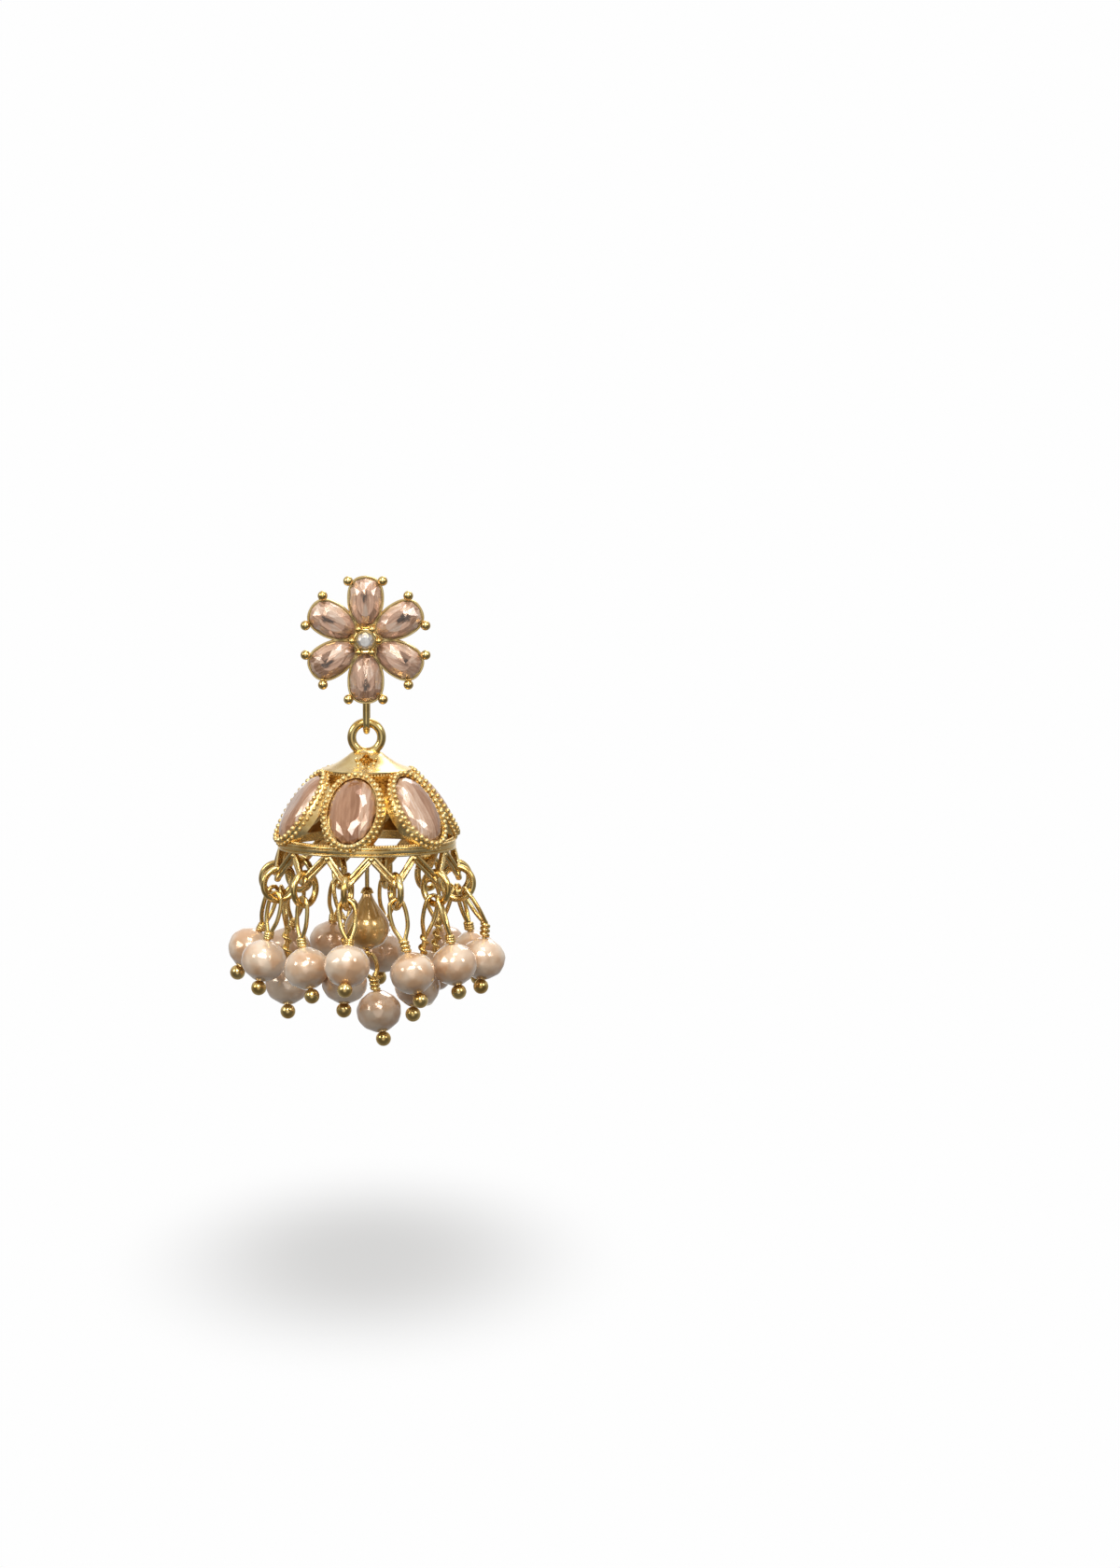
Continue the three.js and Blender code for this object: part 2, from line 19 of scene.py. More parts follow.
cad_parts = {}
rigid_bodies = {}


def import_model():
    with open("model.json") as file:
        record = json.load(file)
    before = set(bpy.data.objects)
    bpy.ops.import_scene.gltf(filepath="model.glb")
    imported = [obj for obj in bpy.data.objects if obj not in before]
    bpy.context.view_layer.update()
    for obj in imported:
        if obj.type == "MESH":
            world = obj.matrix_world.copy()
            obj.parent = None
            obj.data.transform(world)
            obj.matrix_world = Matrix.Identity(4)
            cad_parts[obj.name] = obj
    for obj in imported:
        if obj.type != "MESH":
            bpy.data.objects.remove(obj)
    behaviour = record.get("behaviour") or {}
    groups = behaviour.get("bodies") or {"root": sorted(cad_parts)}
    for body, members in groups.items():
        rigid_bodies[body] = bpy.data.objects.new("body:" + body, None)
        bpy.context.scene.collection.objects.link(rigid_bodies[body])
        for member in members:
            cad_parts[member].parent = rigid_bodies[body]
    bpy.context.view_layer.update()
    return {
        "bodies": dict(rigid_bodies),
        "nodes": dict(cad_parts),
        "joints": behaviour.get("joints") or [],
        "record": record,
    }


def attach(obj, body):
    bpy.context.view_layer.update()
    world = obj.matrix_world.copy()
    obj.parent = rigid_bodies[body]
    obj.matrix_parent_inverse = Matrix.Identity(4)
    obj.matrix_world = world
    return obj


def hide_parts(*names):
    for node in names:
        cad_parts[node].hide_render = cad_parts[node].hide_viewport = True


logging.basicConfig(level=logging.INFO, format="%(message)s")
log = logging.getLogger("jhumka")

MM = 0.001
# The bell's axis stands this far behind the ear, and the front oval is turned this many degrees
AXIS_Y = 1.6
FRONT_TURN = -10.5
# Degrees between two low points of the skirt, which is also half the way from oval to oval
LUG_STEP = 30
SEED = 7
CAGE = "dome_cage"
# Grains for each square metre before those that stand too close are dropped
MOST_GRAINS = 2e8

Piece = bpy.types.Object
Mesh = bpy.types.Mesh
Tree = bpy.types.NodeTree
Node = bpy.types.Node
Socket = bpy.types.NodeSocket
Material = bpy.types.Material


class Body(Enum):
    """The rigid bodies of the frame that a piece can ride on."""

    STUD = "stud"
    LINK = "link"
    BELL = "bell"


class Slot(Enum):
    """The record's material slots."""

    GOLD = "gold_plated_brass"
    CHAMPAGNE = "champagne_stone"
    PEACH = "peach_stone"
    SMOKE = "smoke_stone"
    PEARL = "pearl_bead"
    HONEY = "honey_drop"


def linear(hex_colour: str) -> tuple[float, float, float, float]:
    """Turn an sRGB hex colour into linear RGBA.

    Args:
        hex_colour: six hex digits, with or without a leading hash.

    Returns:
        Linear red, green, blue and an alpha of one.
    """
    digits = hex_colour.lstrip("#")
    values = [int(digits[k:k + 2], 16) / 255 for k in (0, 2, 4)]
    red, green, blue = (v / 12.92 if v <= 0.04045 else ((v + 0.055) / 1.055) ** 2.4 for v in values)
    return red, green, blue, 1.0


def per_mm(size: float) -> float:
    """Texture scale that makes one feature of the given size in millimetres on Object coordinates."""
    return 1 / (size * MM)


def turn(axis: str, degrees: float) -> Matrix:
    """Rotation matrix about a named axis."""
    return Matrix.Rotation(math.radians(degrees), 4, axis)


def shift(x: float, y: float, z: float) -> Matrix:
    """Translation matrix."""
    return Matrix.Translation((x, y, z))


BELL_AXIS = shift(0, AXIS_Y, 0)


def radial(degrees: float) -> Matrix:
    """Frame on the bell's axis whose -Y points outwards at the given turn from the front."""
    return BELL_AXIS @ turn("Z", degrees)


class Shape:
    """A mesh in the making, in millimetres: points and faces that can be added together and placed."""

    def __init__(self) -> None:
        """Start with no points and no faces."""
        self.points: list[Vector] = []
        self.faces: list[tuple[int, ...]] = []

    def add(self, other: "Shape", place: Matrix | None = None) -> "Shape":
        """Add another shape, moved by a matrix.

        Args:
            other: the shape to copy in.
            place: where it goes, or None to leave it where it is.

        Returns:
            This shape, so that calls can follow each other.
        """
        start = len(self.points)
        self.points += [place @ p if place else p.copy() for p in other.points]
        self.faces += [tuple(start + k for k in face) for face in other.faces]
        return self

    @staticmethod
    def loft(rings: Sequence[Sequence[Vector]], loop: bool = False) -> "Shape":
        """Skin through rings of equal point counts.

        Args:
            rings: the sections in order.
            loop: True joins the last ring to the first, False caps both ends.

        Returns:
            The closed shape.
        """
        shape = Shape()
        count = len(rings[0])
        shape.points = [Vector(p) for ring in rings for p in ring]
        steps = len(rings) if loop else len(rings) - 1
        for row in range(steps):
            low, high = row * count, ((row + 1) % len(rings)) * count
            for k in range(count):
                nxt = (k + 1) % count
                shape.faces.append((low + k, low + nxt, high + nxt, high + k))
        if not loop:
            last = (len(rings) - 1) * count
            shape.faces.append(tuple(range(count - 1, -1, -1)))
            shape.faces.append(tuple(last + k for k in range(count)))
        return shape

    @staticmethod
    def turned(profile: Sequence[tuple[float, float]], sides: int, closed: bool = False) -> "Shape":
        """Body of revolution round the Z axis.

        Args:
            profile: radius and height pairs; the first and last have some radius unless closed.
            sides: steps round the axis.
            closed: True where the profile comes back to its start, as for a ring.

        Returns:
            The closed shape.
        """
        rings = []
        for radius, height in profile:
            angles = (2 * math.pi * k / sides for k in range(sides))
            rings.append([Vector((radius * math.cos(a), radius * math.sin(a), height)) for a in angles])
        return Shape.loft(rings, loop=closed)

    @staticmethod
    def tube(path: Sequence[Vector], radius: float, sides: int = 10, loop: bool = False) -> "Shape":
        """Round wire along a path, with frames carried along it so that it doesn't twist.

        Args:
            path: the points of the wire's centre line.
            radius: the wire's radius.
            sides: corners of its section.
            loop: True joins the ends.

        Returns:
            The closed shape.
        """
        count = len(path)
        tangents = []
        for k in range(count):
            before = path[k - 1] if loop or k else path[0]
            after = path[(k + 1) % count] if loop or k < count - 1 else path[-1]
            tangents.append((after - before).normalized())
        side = tangents[0].orthogonal().normalized()
        frames = []
        for k, tangent in enumerate(tangents):
            if k:
                side = tangents[k - 1].rotation_difference(tangent) @ side
            side = (side - tangent * side.dot(tangent)).normalized()
            frames.append((side.copy(), tangent.cross(side)))
        twist = 0.0
        if loop:
            closing = tangents[-1].rotation_difference(tangents[0]) @ frames[-1][0]
            twist = math.atan2(closing.dot(frames[0][1]), closing.dot(frames[0][0]))
        rings = []
        for k, (place, (side, up)) in enumerate(zip(path, frames)):
            ring = []
            for corner in range(sides):
                angle = 2 * math.pi * corner / sides - twist * k / count
                ring.append(place + side * (radius * math.cos(angle)) + up * (radius * math.sin(angle)))
            rings.append(ring)
        return Shape.loft(rings, loop=loop)

    @staticmethod
    def ring(radius: float, wire: float, steps: int = 64, sides: int = 14) -> "Shape":
        """Closed round ring in the XZ plane."""
        angles = [2 * math.pi * k / steps for k in range(steps)]
        path = [Vector((radius * math.cos(a), 0, radius * math.sin(a))) for a in angles]
        return Shape.tube(path, wire, sides, loop=True)

    @staticmethod
    def ball(radius: float, place: Vector, sides: int = 20, rows: int = 12) -> "Shape":
        """Round ball with quads between its poles."""
        profile = []
        for k in range(rows + 1):
            angle = math.pi * (0.02 + 0.96 * k / rows)
            profile.append((radius * math.sin(angle), radius * math.cos(angle)))
        return Shape().add(Shape.turned(profile, sides), shift(*place))

    def object(self, name: str, sharp: float = 30.0) -> Piece:
        """Turn the shape into a mesh object in metres at the origin, with faces pointing out.

        Args:
            name: the object's name.
            sharp: edges over this many degrees stay crisp; 0 shades every face flat.

        Returns:
            The linked object.
        """
        mesh = bpy.data.meshes.new(name)
        mesh.from_pydata([p * MM for p in self.points], [], self.faces)
        mesh.validate()
        outward(mesh)
        piece = add_object(name, mesh)
        shade(piece, sharp)
        return piece


def add_object(name: str, data: bpy.types.ID) -> Piece:
    """Put a mesh, curve, camera or light into the scene as an object and return it."""
    made = bpy.data.objects.new(name, data)
    bpy.context.scene.collection.objects.link(made)
    return made


def point_cloud(name: str, places: Sequence[Vector]) -> Piece:
    """Mesh of loose points from places in millimetres, for a tree to set small pieces on."""
    mesh = bpy.data.meshes.new(name)
    mesh.from_pydata([place * MM for place in places], [], [])
    return add_object(name, mesh)


def outward(mesh: Mesh) -> None:
    """Merge doubled points and turn every closed part of a mesh with its faces outwards."""
    work = bmesh.new()
    work.from_mesh(mesh)
    bmesh.ops.remove_doubles(work, verts=work.verts, dist=1e-7)
    bmesh.ops.recalc_face_normals(work, faces=work.faces)
    work.to_mesh(mesh)
    work.free()


def shade(piece: Piece, sharp: float) -> None:
    """Shade a piece smooth up to the given angle in degrees, or flat at 0."""
    piece.data.shade_flat()
    if sharp:
        piece.data.shade_smooth()
        piece.data.set_sharp_from_angle(angle=math.radians(sharp))


def apply_modifiers(piece: Piece) -> None:
    """Replace a piece's mesh by its evaluated one and remove the modifiers."""
    graph = bpy.context.evaluated_depsgraph_get()
    mesh = bpy.data.meshes.new_from_object(piece.evaluated_get(graph))
    piece.modifiers.clear()
    piece.data = mesh


def soften(piece: Piece, width: float, segments: int = 2, limit: float = 30.0) -> None:
    """Round a piece's edges over the limit angle.

    Args:
        piece: the object.
        width: the rounding's width in millimetres.
        segments: steps across the rounding.
        limit: edges flatter than this many degrees stay.
    """
    bevel = piece.modifiers.new("rounding", "BEVEL")
    bevel.width = width * MM
    bevel.segments = segments
    bevel.limit_method = "ANGLE"
    bevel.angle_limit = math.radians(limit)
    weigh = piece.modifiers.new("flat faces", "WEIGHTED_NORMAL")
    weigh.keep_sharp = False
    piece.data.shade_smooth()
    apply_modifiers(piece)


def feed(made: Node, **links: object) -> Node:
    """Set or link sockets of a node.

    Args:
        made: the node.
        **links: socket name, with spaces as underscores or sN for a socket by number, to a value
            or to the output socket that feeds it.

    Returns:
        The same node.
    """
    for key, value in links.items():
        numbered = key[0] == "s" and key[1:].isdigit()
        socket = made.inputs[int(key[1:]) if numbered else key.replace("_", " ")]
        if isinstance(value, Socket):
            made.id_data.links.new(value, socket)
        else:
            socket.default_value = value
    return made


def node(tree: Tree, kind: str, settings: dict | None = None, **links: object) -> Node:
    """Add a node with its settings and links.

    Args:
        tree: the tree it goes into.
        kind: the node's type name.
        settings: attributes to set on the node before its sockets are used; "stops" gives the
            place and hex colour of each stop of a colour ramp.
        **links: sockets, as for feed.

    Returns:
        The new node.
    """
    made = tree.nodes.new(kind)
    for key, value in (settings or {}).items():
        if key != "stops":
            setattr(made, key, value)
            continue
        elements = made.color_ramp.elements
        while len(elements) < len(value):
            elements.new(0.5)
        for element, (place, colour) in zip(elements, value):
            element.position = place
            element.color = linear(colour)
    return feed(made, **links)


def chain(tree: Tree, given: dict[str, Socket], steps: Sequence[tuple]) -> dict[str, Socket]:
    """Add a row of nodes that each work out one value from earlier ones.

    Args:
        tree: the material's tree.
        given: the values to start from, by name.
        steps: for each node its result's name, its type name, its operation and what feeds its
            sockets in order: a value's name, a number, or None for a socket that isn't used.

    Returns:
        All values by name.
    """
    known = dict(given)
    for name, kind, operation, *feeds in steps:
        links = {}
        for k, value in enumerate(feeds):
            if value is not None:
                links[f"s{k}"] = known[value] if isinstance(value, str) else value
        known[name] = node(tree, kind, {"operation": operation}, **links).outputs[0]
    return known


@dataclass(frozen=True)
class Finish:
    """A finish with a name, whose material is built once."""

    name: str

    def material(self) -> Material:
        """Build the material on its first use and return the same one afterwards."""
        made = bpy.data.materials.get(self.name)
        if not made:
            made = bpy.data.materials.new(self.name)
            made.use_nodes = True
            self.paint(made.node_tree, made.node_tree.nodes["Principled BSDF"])
        return made

    def paint(self, tree: Tree, shader: Node) -> None:
        """Add the finish's own nodes round the shader; each kind of finish has its own way."""
        raise NotImplementedError


@dataclass(frozen=True)
class Metal(Finish):
    """Gold plate over brass: its colours, how worn or polished it is, and its grain in millimetres."""

    light: str
    deep: str
    roughness: float
    variation: float
    grain: float
    bump: float
    cloud: float = 1.6
    grain_depth: float = 0.02

    def paint(self, tree: Tree, shader: Node) -> None:
        """Give the metal cloudy colour, uneven polish and a fine cast grain."""
        place = node(tree, "ShaderNodeTexCoord").outputs["Object"]
        cloud = node(tree, "ShaderNodeTexNoise", Vector=place, Scale=per_mm(self.cloud), Detail=3.0)
        grain = node(tree, "ShaderNodeTexNoise", Vector=place, Scale=per_mm(self.grain), Detail=4.0)
        stops = {"stops": ((0.35, self.deep), (0.62, self.light))}
        colour = node(tree, "ShaderNodeValToRGB", stops, Fac=cloud.outputs["Fac"]).outputs["Color"]
        dullest = self.roughness + self.variation
        height = grain.outputs["Fac"]
        polish = node(tree, "ShaderNodeMapRange", s0=height, s3=self.roughness, s4=dullest).outputs[0]
        depth = self.grain_depth * MM
        relief = node(tree, "ShaderNodeBump", Height=height, Strength=self.bump, Distance=depth)
        feed(shader, Base_Color=colour, Roughness=polish, Normal=relief.outputs["Normal"], Metallic=1.0)


# Bright gold plate on drawn brass wire: a clean, tight reflection
WIRE_GOLD = Metal(
    "gold_plated_brass_wire", light="#EED28E", deep="#D4AC62",
    roughness=0.15, variation=0.08, grain=0.35, bump=0.12
)
# Gold plate on cast brass: softer, slightly uneven reflection
CAST_GOLD = Metal(
    "gold_plated_cast_brass", light="#EDD398", deep="#D6B26E",
    roughness=0.2, variation=0.12, grain=0.25, bump=0.3
)
# Gold plate on milgrain beads: worn satin, so each bead is evenly pale with a soft glint
BEAD_GOLD = Metal(
    "gold_plated_milgrain", light="#F1D89C", deep="#DDBA78",
    roughness=0.36, variation=0.1, grain=0.25, bump=0.1
)
# Nearly matt plate deep between the settings, its warm brown a painted shade for the recesses
SHADED_RECESS_GOLD = Metal(
    "gold_plate_with_painted_recess_shade", light="#B67F32", deep="#7C4F1A",
    roughness=0.42, variation=0.16, grain=0.3, bump=0.8
)


MATH = "ShaderNodeMath"
VECTOR = "ShaderNodeVectorMath"


@dataclass(frozen=True)
class Foiled(Finish):
    """Foil-backed glass: a tinted mirror of tilted pavilion facets under clear polished glass.

    The facets lie in columns along the stone, or else in rings round its culet. Each facet's colour
    is a painted reflection, from dark to near white, with painted light streaks and a painted dark
    reflection over the culet. Facets and rings are counts, the culet is a place along the stone
    from -1 to 1, and spot is how dark the painted culet reflection is.
    """

    stops: tuple[tuple[float, str], ...]
    metallic: float
    roughness: float
    tilt: float
    facets: float
    rings: float
    culet: float
    spot: float
    columns: bool
    streak: float
    glass_ior: float = 1.55
    coat_ior: float = 1.6

    def cells(self) -> list[tuple]:
        """Steps for chain that divide the stone's face into pavilion facets.

        Returns:
            Steps from the values along and across to the facet's number, its direction from the
            culet in radians and the distance from the culet.
        """
        steps = [
            ("beyond", MATH, "SUBTRACT", "along", self.culet),
            ("ahead", MATH, "MAXIMUM", "beyond", 0.0),
            ("ahead", MATH, "MULTIPLY", "ahead", 1.2),
            ("behind", MATH, "MINIMUM", "beyond", 0.0),
            ("behind", MATH, "MULTIPLY", "behind", 0.6),
            ("from_culet", MATH, "ADD", "ahead", "behind"),
            ("length", MATH, "MULTIPLY", "from_culet", "from_culet"),
            ("width", MATH, "MULTIPLY", "across", "across"),
            ("squares", MATH, "ADD", "length", "width"),
            ("distance", MATH, "SQRT", "squares"),
        ]
        if self.columns:
            steps += [
                ("slant", MATH, "MULTIPLY", "along", 0.08),
                ("slanted", MATH, "ADD", "across", "slant"),
                ("cell", MATH, "MULTIPLY", "slanted", self.facets),
                ("cell", MATH, "FLOOR", "cell"),
                ("ring", MATH, "MULTIPLY", "along", self.rings),
                ("sign", MATH, "SIGN", "cell"),
                ("direction", MATH, "MULTIPLY", "sign", math.pi / 2),
            ]
        else:
            steps += [
                ("angle", MATH, "ARCTAN2", "across", "from_culet"),
                ("cell", MATH, "MULTIPLY", "angle", self.facets / (2 * math.pi)),
                ("cell", MATH, "FLOOR", "cell"),
                ("ring", MATH, "MULTIPLY", "distance", self.rings),
                ("middle", MATH, "ADD", "cell", 0.5),
                ("direction", MATH, "MULTIPLY", "middle", 2 * math.pi / self.facets),
            ]
        steps.append(("ring", MATH, "FLOOR", "ring"))
        steps.append(("number", MATH, "MULTIPLY_ADD", "ring", 17.0, "cell"))
        return steps

    def paint(self, tree: Tree, shader: Node) -> None:
        """Tilt each pavilion facet and paint its tone, a painted reflection, and leave the stone's cut faces to
        the clear coat.

        Three attributes of the mesh give the place on the stone and the stone's own directions.

        Args:
            tree: the material's tree.
            shader: its shader.
        """
        place, cut_along, cut_across = (
            node(tree, "ShaderNodeAttribute", {"attribute_name": name}).outputs["Vector"]
            for name in ("cut_place", "cut_along", "cut_across")
        )
        split = node(tree, "ShaderNodeSeparateXYZ", s0=place)
        along, across, stone = split.outputs
        known = {"along": along, "across": across, "cut_along": cut_along, "cut_across": cut_across}
        known = chain(tree, known, self.cells())
        chance = node(tree, "ShaderNodeCombineXYZ", s0=known["number"], s1=stone).outputs[0]
        known["dice"] = node(
            tree, "ShaderNodeTexWhiteNoise", {"noise_dimensions": "2D"}, Vector=chance
        ).outputs["Value"]
        # Painted light streaks drawn along the stone's length
        face = node(tree, "ShaderNodeCombineXYZ", s0=across, s1=along).outputs[0]
        drawn = node(tree, VECTOR, {"operation": "MULTIPLY"}, s0=face, s1=(5.0, 1.2, 1.0)).outputs[0]
        streaks = node(tree, "ShaderNodeTexNoise", Vector=drawn, Scale=1.6, Detail=3.0)
        known["streaks"] = streaks.outputs["Fac"]
        low, high = 0.26 - self.streak / 2, 0.26 + self.streak / 2
        known["soft"] = node(tree, "ShaderNodeMapRange", s0=known["streaks"], s3=low, s4=high).outputs[0]
        # Painted dark reflection over the culet, deeper on some stones than on others
        painted_culet_chance = node(tree, "ShaderNodeTexWhiteNoise", {"noise_dimensions": "1D"}, W=stone).outputs["Value"]
        depth = node(tree, "ShaderNodeMapRange", s0=painted_culet_chance, s3=-self.spot, s4=-self.spot * 0.3).outputs[0]
        # Each facet's painted reflection tone from a random brightness and the streaks; its tilt gives the real
        # reflections
        known = chain(tree, known, (
            ("mixed", MATH, "MULTIPLY_ADD", "dice", 0.55, "soft"),
            ("uneven", MATH, "MULTIPLY_ADD", "streaks", 0.35, "distance"),
            ("lean", MATH, "SUBTRACT", "dice", 0.3),
            ("cosine", MATH, "COSINE", "direction"),
            ("amount", MATH, "MULTIPLY", "cosine", "lean"),
            ("lengthways", VECTOR, "SCALE", "cut_along", None, None, "amount"),
            ("sine", MATH, "SINE", "direction"),
            ("amount", MATH, "MULTIPLY", "sine", "lean"),
            ("sideways", VECTOR, "SCALE", "cut_across", None, None, "amount"),
            ("summed", VECTOR, "ADD", "lengthways", "sideways"),
            ("sized", VECTOR, "SCALE", "summed", None, None, self.tilt),
        ))
        # Darken the tone near the culet with the painted dark reflection, then colour it from dark to near white
        smooth = {"interpolation_type": "SMOOTHSTEP"}
        painted_dark_reflection = node(tree, "ShaderNodeMapRange", smooth, s0=known["uneven"], s1=0.28, s2=0.5, s3=depth, s4=0.0)
        painted_reflection_tone = node(tree, MATH, {"operation": "ADD"}, s0=known["mixed"], s1=painted_dark_reflection.outputs[0]).outputs[0]
        colour = node(tree, "ShaderNodeValToRGB", {"stops": self.stops}, Fac=painted_reflection_tone).outputs["Color"]
        way = {"vector_type": "VECTOR", "convert_from": "OBJECT", "convert_to": "WORLD"}
        known["tilted"] = node(tree, "ShaderNodeVectorTransform", way, Vector=known["sized"]).outputs[0]
        known["facing"] = node(tree, "ShaderNodeNewGeometry").outputs["Normal"]
        known = chain(tree, known, (
            ("leaned", VECTOR, "ADD", "facing", "tilted"),
            ("unit", VECTOR, "NORMALIZE", "leaned"),
        ))
        feed(shader, Base_Color=colour, Normal=known["unit"], Metallic=self.metallic)
        feed(shader, Roughness=self.roughness, IOR=self.glass_ior)
        feed(shader, Coat_Weight=1.0, Coat_Roughness=0.03, Coat_IOR=self.coat_ior)


# Champagne-pink glass over silver foil: rosy beige body, with painted facet reflections and a painted dark
# reflection over the culet
CHAMPAGNE = Foiled(
    "champagne_foiled_glass",
    ((0.0, "#45352A"), (0.22, "#947056"), (0.5, "#CCA287"), (0.78, "#E4C6AF"), (1.0, "#FDF2E6")),
    metallic=0.35, roughness=0.2, tilt=0.55, facets=9.0, rings=1.6,
    culet=0.34, spot=1.1, columns=False, streak=0.72,
)
# Peach glass with long soft facets: broad, slow reflections, and painted bright and dark facet tones in columns
PEACH = Foiled(
    "peach_foiled_glass",
    ((0.0, "#63391F"), (0.25, "#895A38"), (0.5, "#A87B5A"), (0.78, "#CCAA90"), (1.0, "#FFF8F0")),
    metallic=0.2, roughness=0.2, tilt=0.24, facets=2.6, rings=0.0,
    culet=0.0, spot=0.0, columns=True, streak=0.6,
)
# Grey-white glass over silver foil, with painted facet reflections
SMOKE = Foiled(
    "smoke_foiled_glass",
    ((0.0, "#8A847F"), (0.4, "#C4C0BC"), (1.0, "#F7F6F4")),
    metallic=0.5, roughness=0.22, tilt=0.5, facets=8.0, rings=2.0,
    culet=0.0, spot=0.0, columns=False, streak=0.6,
)


@dataclass(frozen=True)
class Lustre(Finish):
    """Coated glass: a coloured body with a satin or bright lustre coat over it."""

    light: str
    deep: str
    metallic: float
    roughness: float

    def paint(self, tree: Tree, shader: Node) -> None:
        """Give the glass cloudy colour and a slightly uneven satin under its coat."""
        place = node(tree, "ShaderNodeTexCoord").outputs["Object"]
        cloud = node(tree, "ShaderNodeTexNoise", Vector=place, Scale=per_mm(2.4), Detail=2.0)
        fine = node(tree, "ShaderNodeTexNoise", Vector=place, Scale=per_mm(0.3), Detail=3.0)
        stops = {"stops": ((0.36, self.deep), (0.62, self.light))}
        colour = node(tree, "ShaderNodeValToRGB", stops, Fac=cloud.outputs["Fac"]).outputs["Color"]
        satin = (self.roughness, self.roughness + 0.08)
        polish = node(tree, "ShaderNodeMapRange", s0=fine.outputs["Fac"], s3=satin[0], s4=satin[1]).outputs[0]
        feed(shader, Base_Color=colour, Roughness=polish, Metallic=self.metallic, IOR=1.55)
        feed(shader, Coat_Weight=1.0, Coat_Roughness=0.05)


# Pearl-coated glass: milky beige with a satin glow under a sharp highlight
PEARL = Lustre(
    "pearl_coated_glass", light="#EBD4BB", deep="#D1A883", metallic=0.24, roughness=0.15
)
# Honey lustre glass: golden brown with a bright edge
HONEY = Lustre(
    "honey_lustre_glass", light="#E2BA74", deep="#B8863F", metallic=0.5, roughness=0.16
)


def dress(piece: Piece, finish: Finish, slot: Slot, body: Body, *nodes: str) -> None:
    """Give a finished piece its material and body, and hide the frame nodes that it stands for.

    Args:
        piece: the object, with its place in its mesh.
        finish: its finish.
        slot: the record's slot; not used.
        body: the body it rides on.
        *nodes: the frame nodes it stands for.
    """
    piece.data.materials.clear()
    piece.data.materials.append(finish.material())
    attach(piece, body.value)
    if nodes:
        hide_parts(*nodes)
    log.info("%s: %d faces on %s", piece.name, len(piece.data.polygons), body.value)


class NodeTreeMaker:
    """Builds a geometry node tree with named inputs and runs it on a piece."""

    def __init__(self, name: str) -> None:
        """Make an empty tree that takes and gives geometry."""
        self.tree = bpy.data.node_groups.new(name, "GeometryNodeTree")
        self.sockets: dict[str, str] = {}
        face = self.tree.interface
        face.new_socket("Geometry", in_out="OUTPUT", socket_type="NodeSocketGeometry")
        face.new_socket("Geometry", in_out="INPUT", socket_type="NodeSocketGeometry")
        self.entry = self.tree.nodes.new("NodeGroupInput")

    def number(self, name: str, kind: str = "NodeSocketFloat") -> None:
        """Add a named input of the given socket type."""
        made = self.tree.interface.new_socket(name, in_out="INPUT", socket_type=kind)
        self.sockets[name] = made.identifier

    def finish(self, last: Socket, material: Material) -> None:
        """End the tree with Realize Instances and Set Material."""
        solid = node(self.tree, "GeometryNodeRealizeInstances", Geometry=last)
        skin = node(self.tree, "GeometryNodeSetMaterial", Geometry=solid.outputs[0], Material=material)
        leave = self.tree.nodes.new("NodeGroupOutput")
        self.tree.links.new(skin.outputs[0], leave.inputs[0])

    def balls(self, points: Socket, detail: int, material: Material) -> None:
        """End the tree with a ball of the input Radius on each point.

        Args:
            points: the points' geometry.
            detail: how finely each ball is divided.
            material: the balls' material.
        """
        radius = self.entry.outputs["Radius"]
        ball = node(self.tree, "GeometryNodeMeshIcoSphere", Radius=radius, Subdivisions=detail)
        smooth = node(self.tree, "GeometryNodeSetShadeSmooth", Geometry=ball.outputs[0])
        dots = node(self.tree, "GeometryNodeInstanceOnPoints", Points=points, Instance=smooth.outputs[0])
        self.finish(dots.outputs[0], material)

    def run(self, base: Piece, name: str, values: dict[str, float]) -> Piece:
        """Run the tree on a base object and keep the result as a plain mesh object.

        Args:
            base: the curve or mesh that the tree starts from; it is removed afterwards.
            name: the new piece's name.
            values: a value for each named input.

        Returns:
            The new piece, at the origin.
        """
        modifier = base.modifiers.new("maker", "NODES")
        modifier.node_group = self.tree
        for key, value in values.items():
            modifier[self.sockets[key]] = value
        graph = bpy.context.evaluated_depsgraph_get()
        mesh = bpy.data.meshes.new_from_object(base.evaluated_get(graph))
        bpy.data.objects.remove(base)
        return add_object(name, mesh)


def curve_object(name: str, splines: Sequence[Sequence[Vector]]) -> Piece:
    """Make a curve object of closed poly splines.

    Args:
        name: the object's name.
        splines: the points of each spline, in millimetres.

    Returns:
        The linked curve.
    """
    data = bpy.data.curves.new(name, "CURVE")
    data.dimensions = "3D"
    for points in splines:
        spline = data.splines.new("POLY")
        spline.points.add(len(points) - 1)
        spline.use_cyclic_u = True
        for target, point in zip(spline.points, points):
            target.co = (*(point * MM), 1.0)
    return add_object(name, data)


def bead_row_tree(material: Material) -> NodeTreeMaker:
    """Tree that sets a row of small balls along each spline of a curve.

    Args:
        material: the balls' material.

    Returns:
        The tree, with inputs Radius in metres and Count for each spline.
    """
    maker = NodeTreeMaker("bead_row")
    maker.number("Radius")
    maker.number("Count", "NodeSocketInt")
    path, count = maker.entry.outputs["Geometry"], maker.entry.outputs["Count"]
    spread = node(maker.tree, "GeometryNodeResampleCurve", Curve=path, Count=count)
    maker.balls(spread.outputs[0], 2, material)
    return maker


def point_ball_tree(material: Material) -> NodeTreeMaker:
    """Tree that sets a ball on each point of a mesh.

    Args:
        material: the balls' material.

    Returns:
        The tree, with the input Radius in metres.
    """
    maker = NodeTreeMaker("ball_on_each_point")
    maker.number("Radius")
    maker.balls(maker.entry.outputs["Geometry"], 4, material)
    return maker


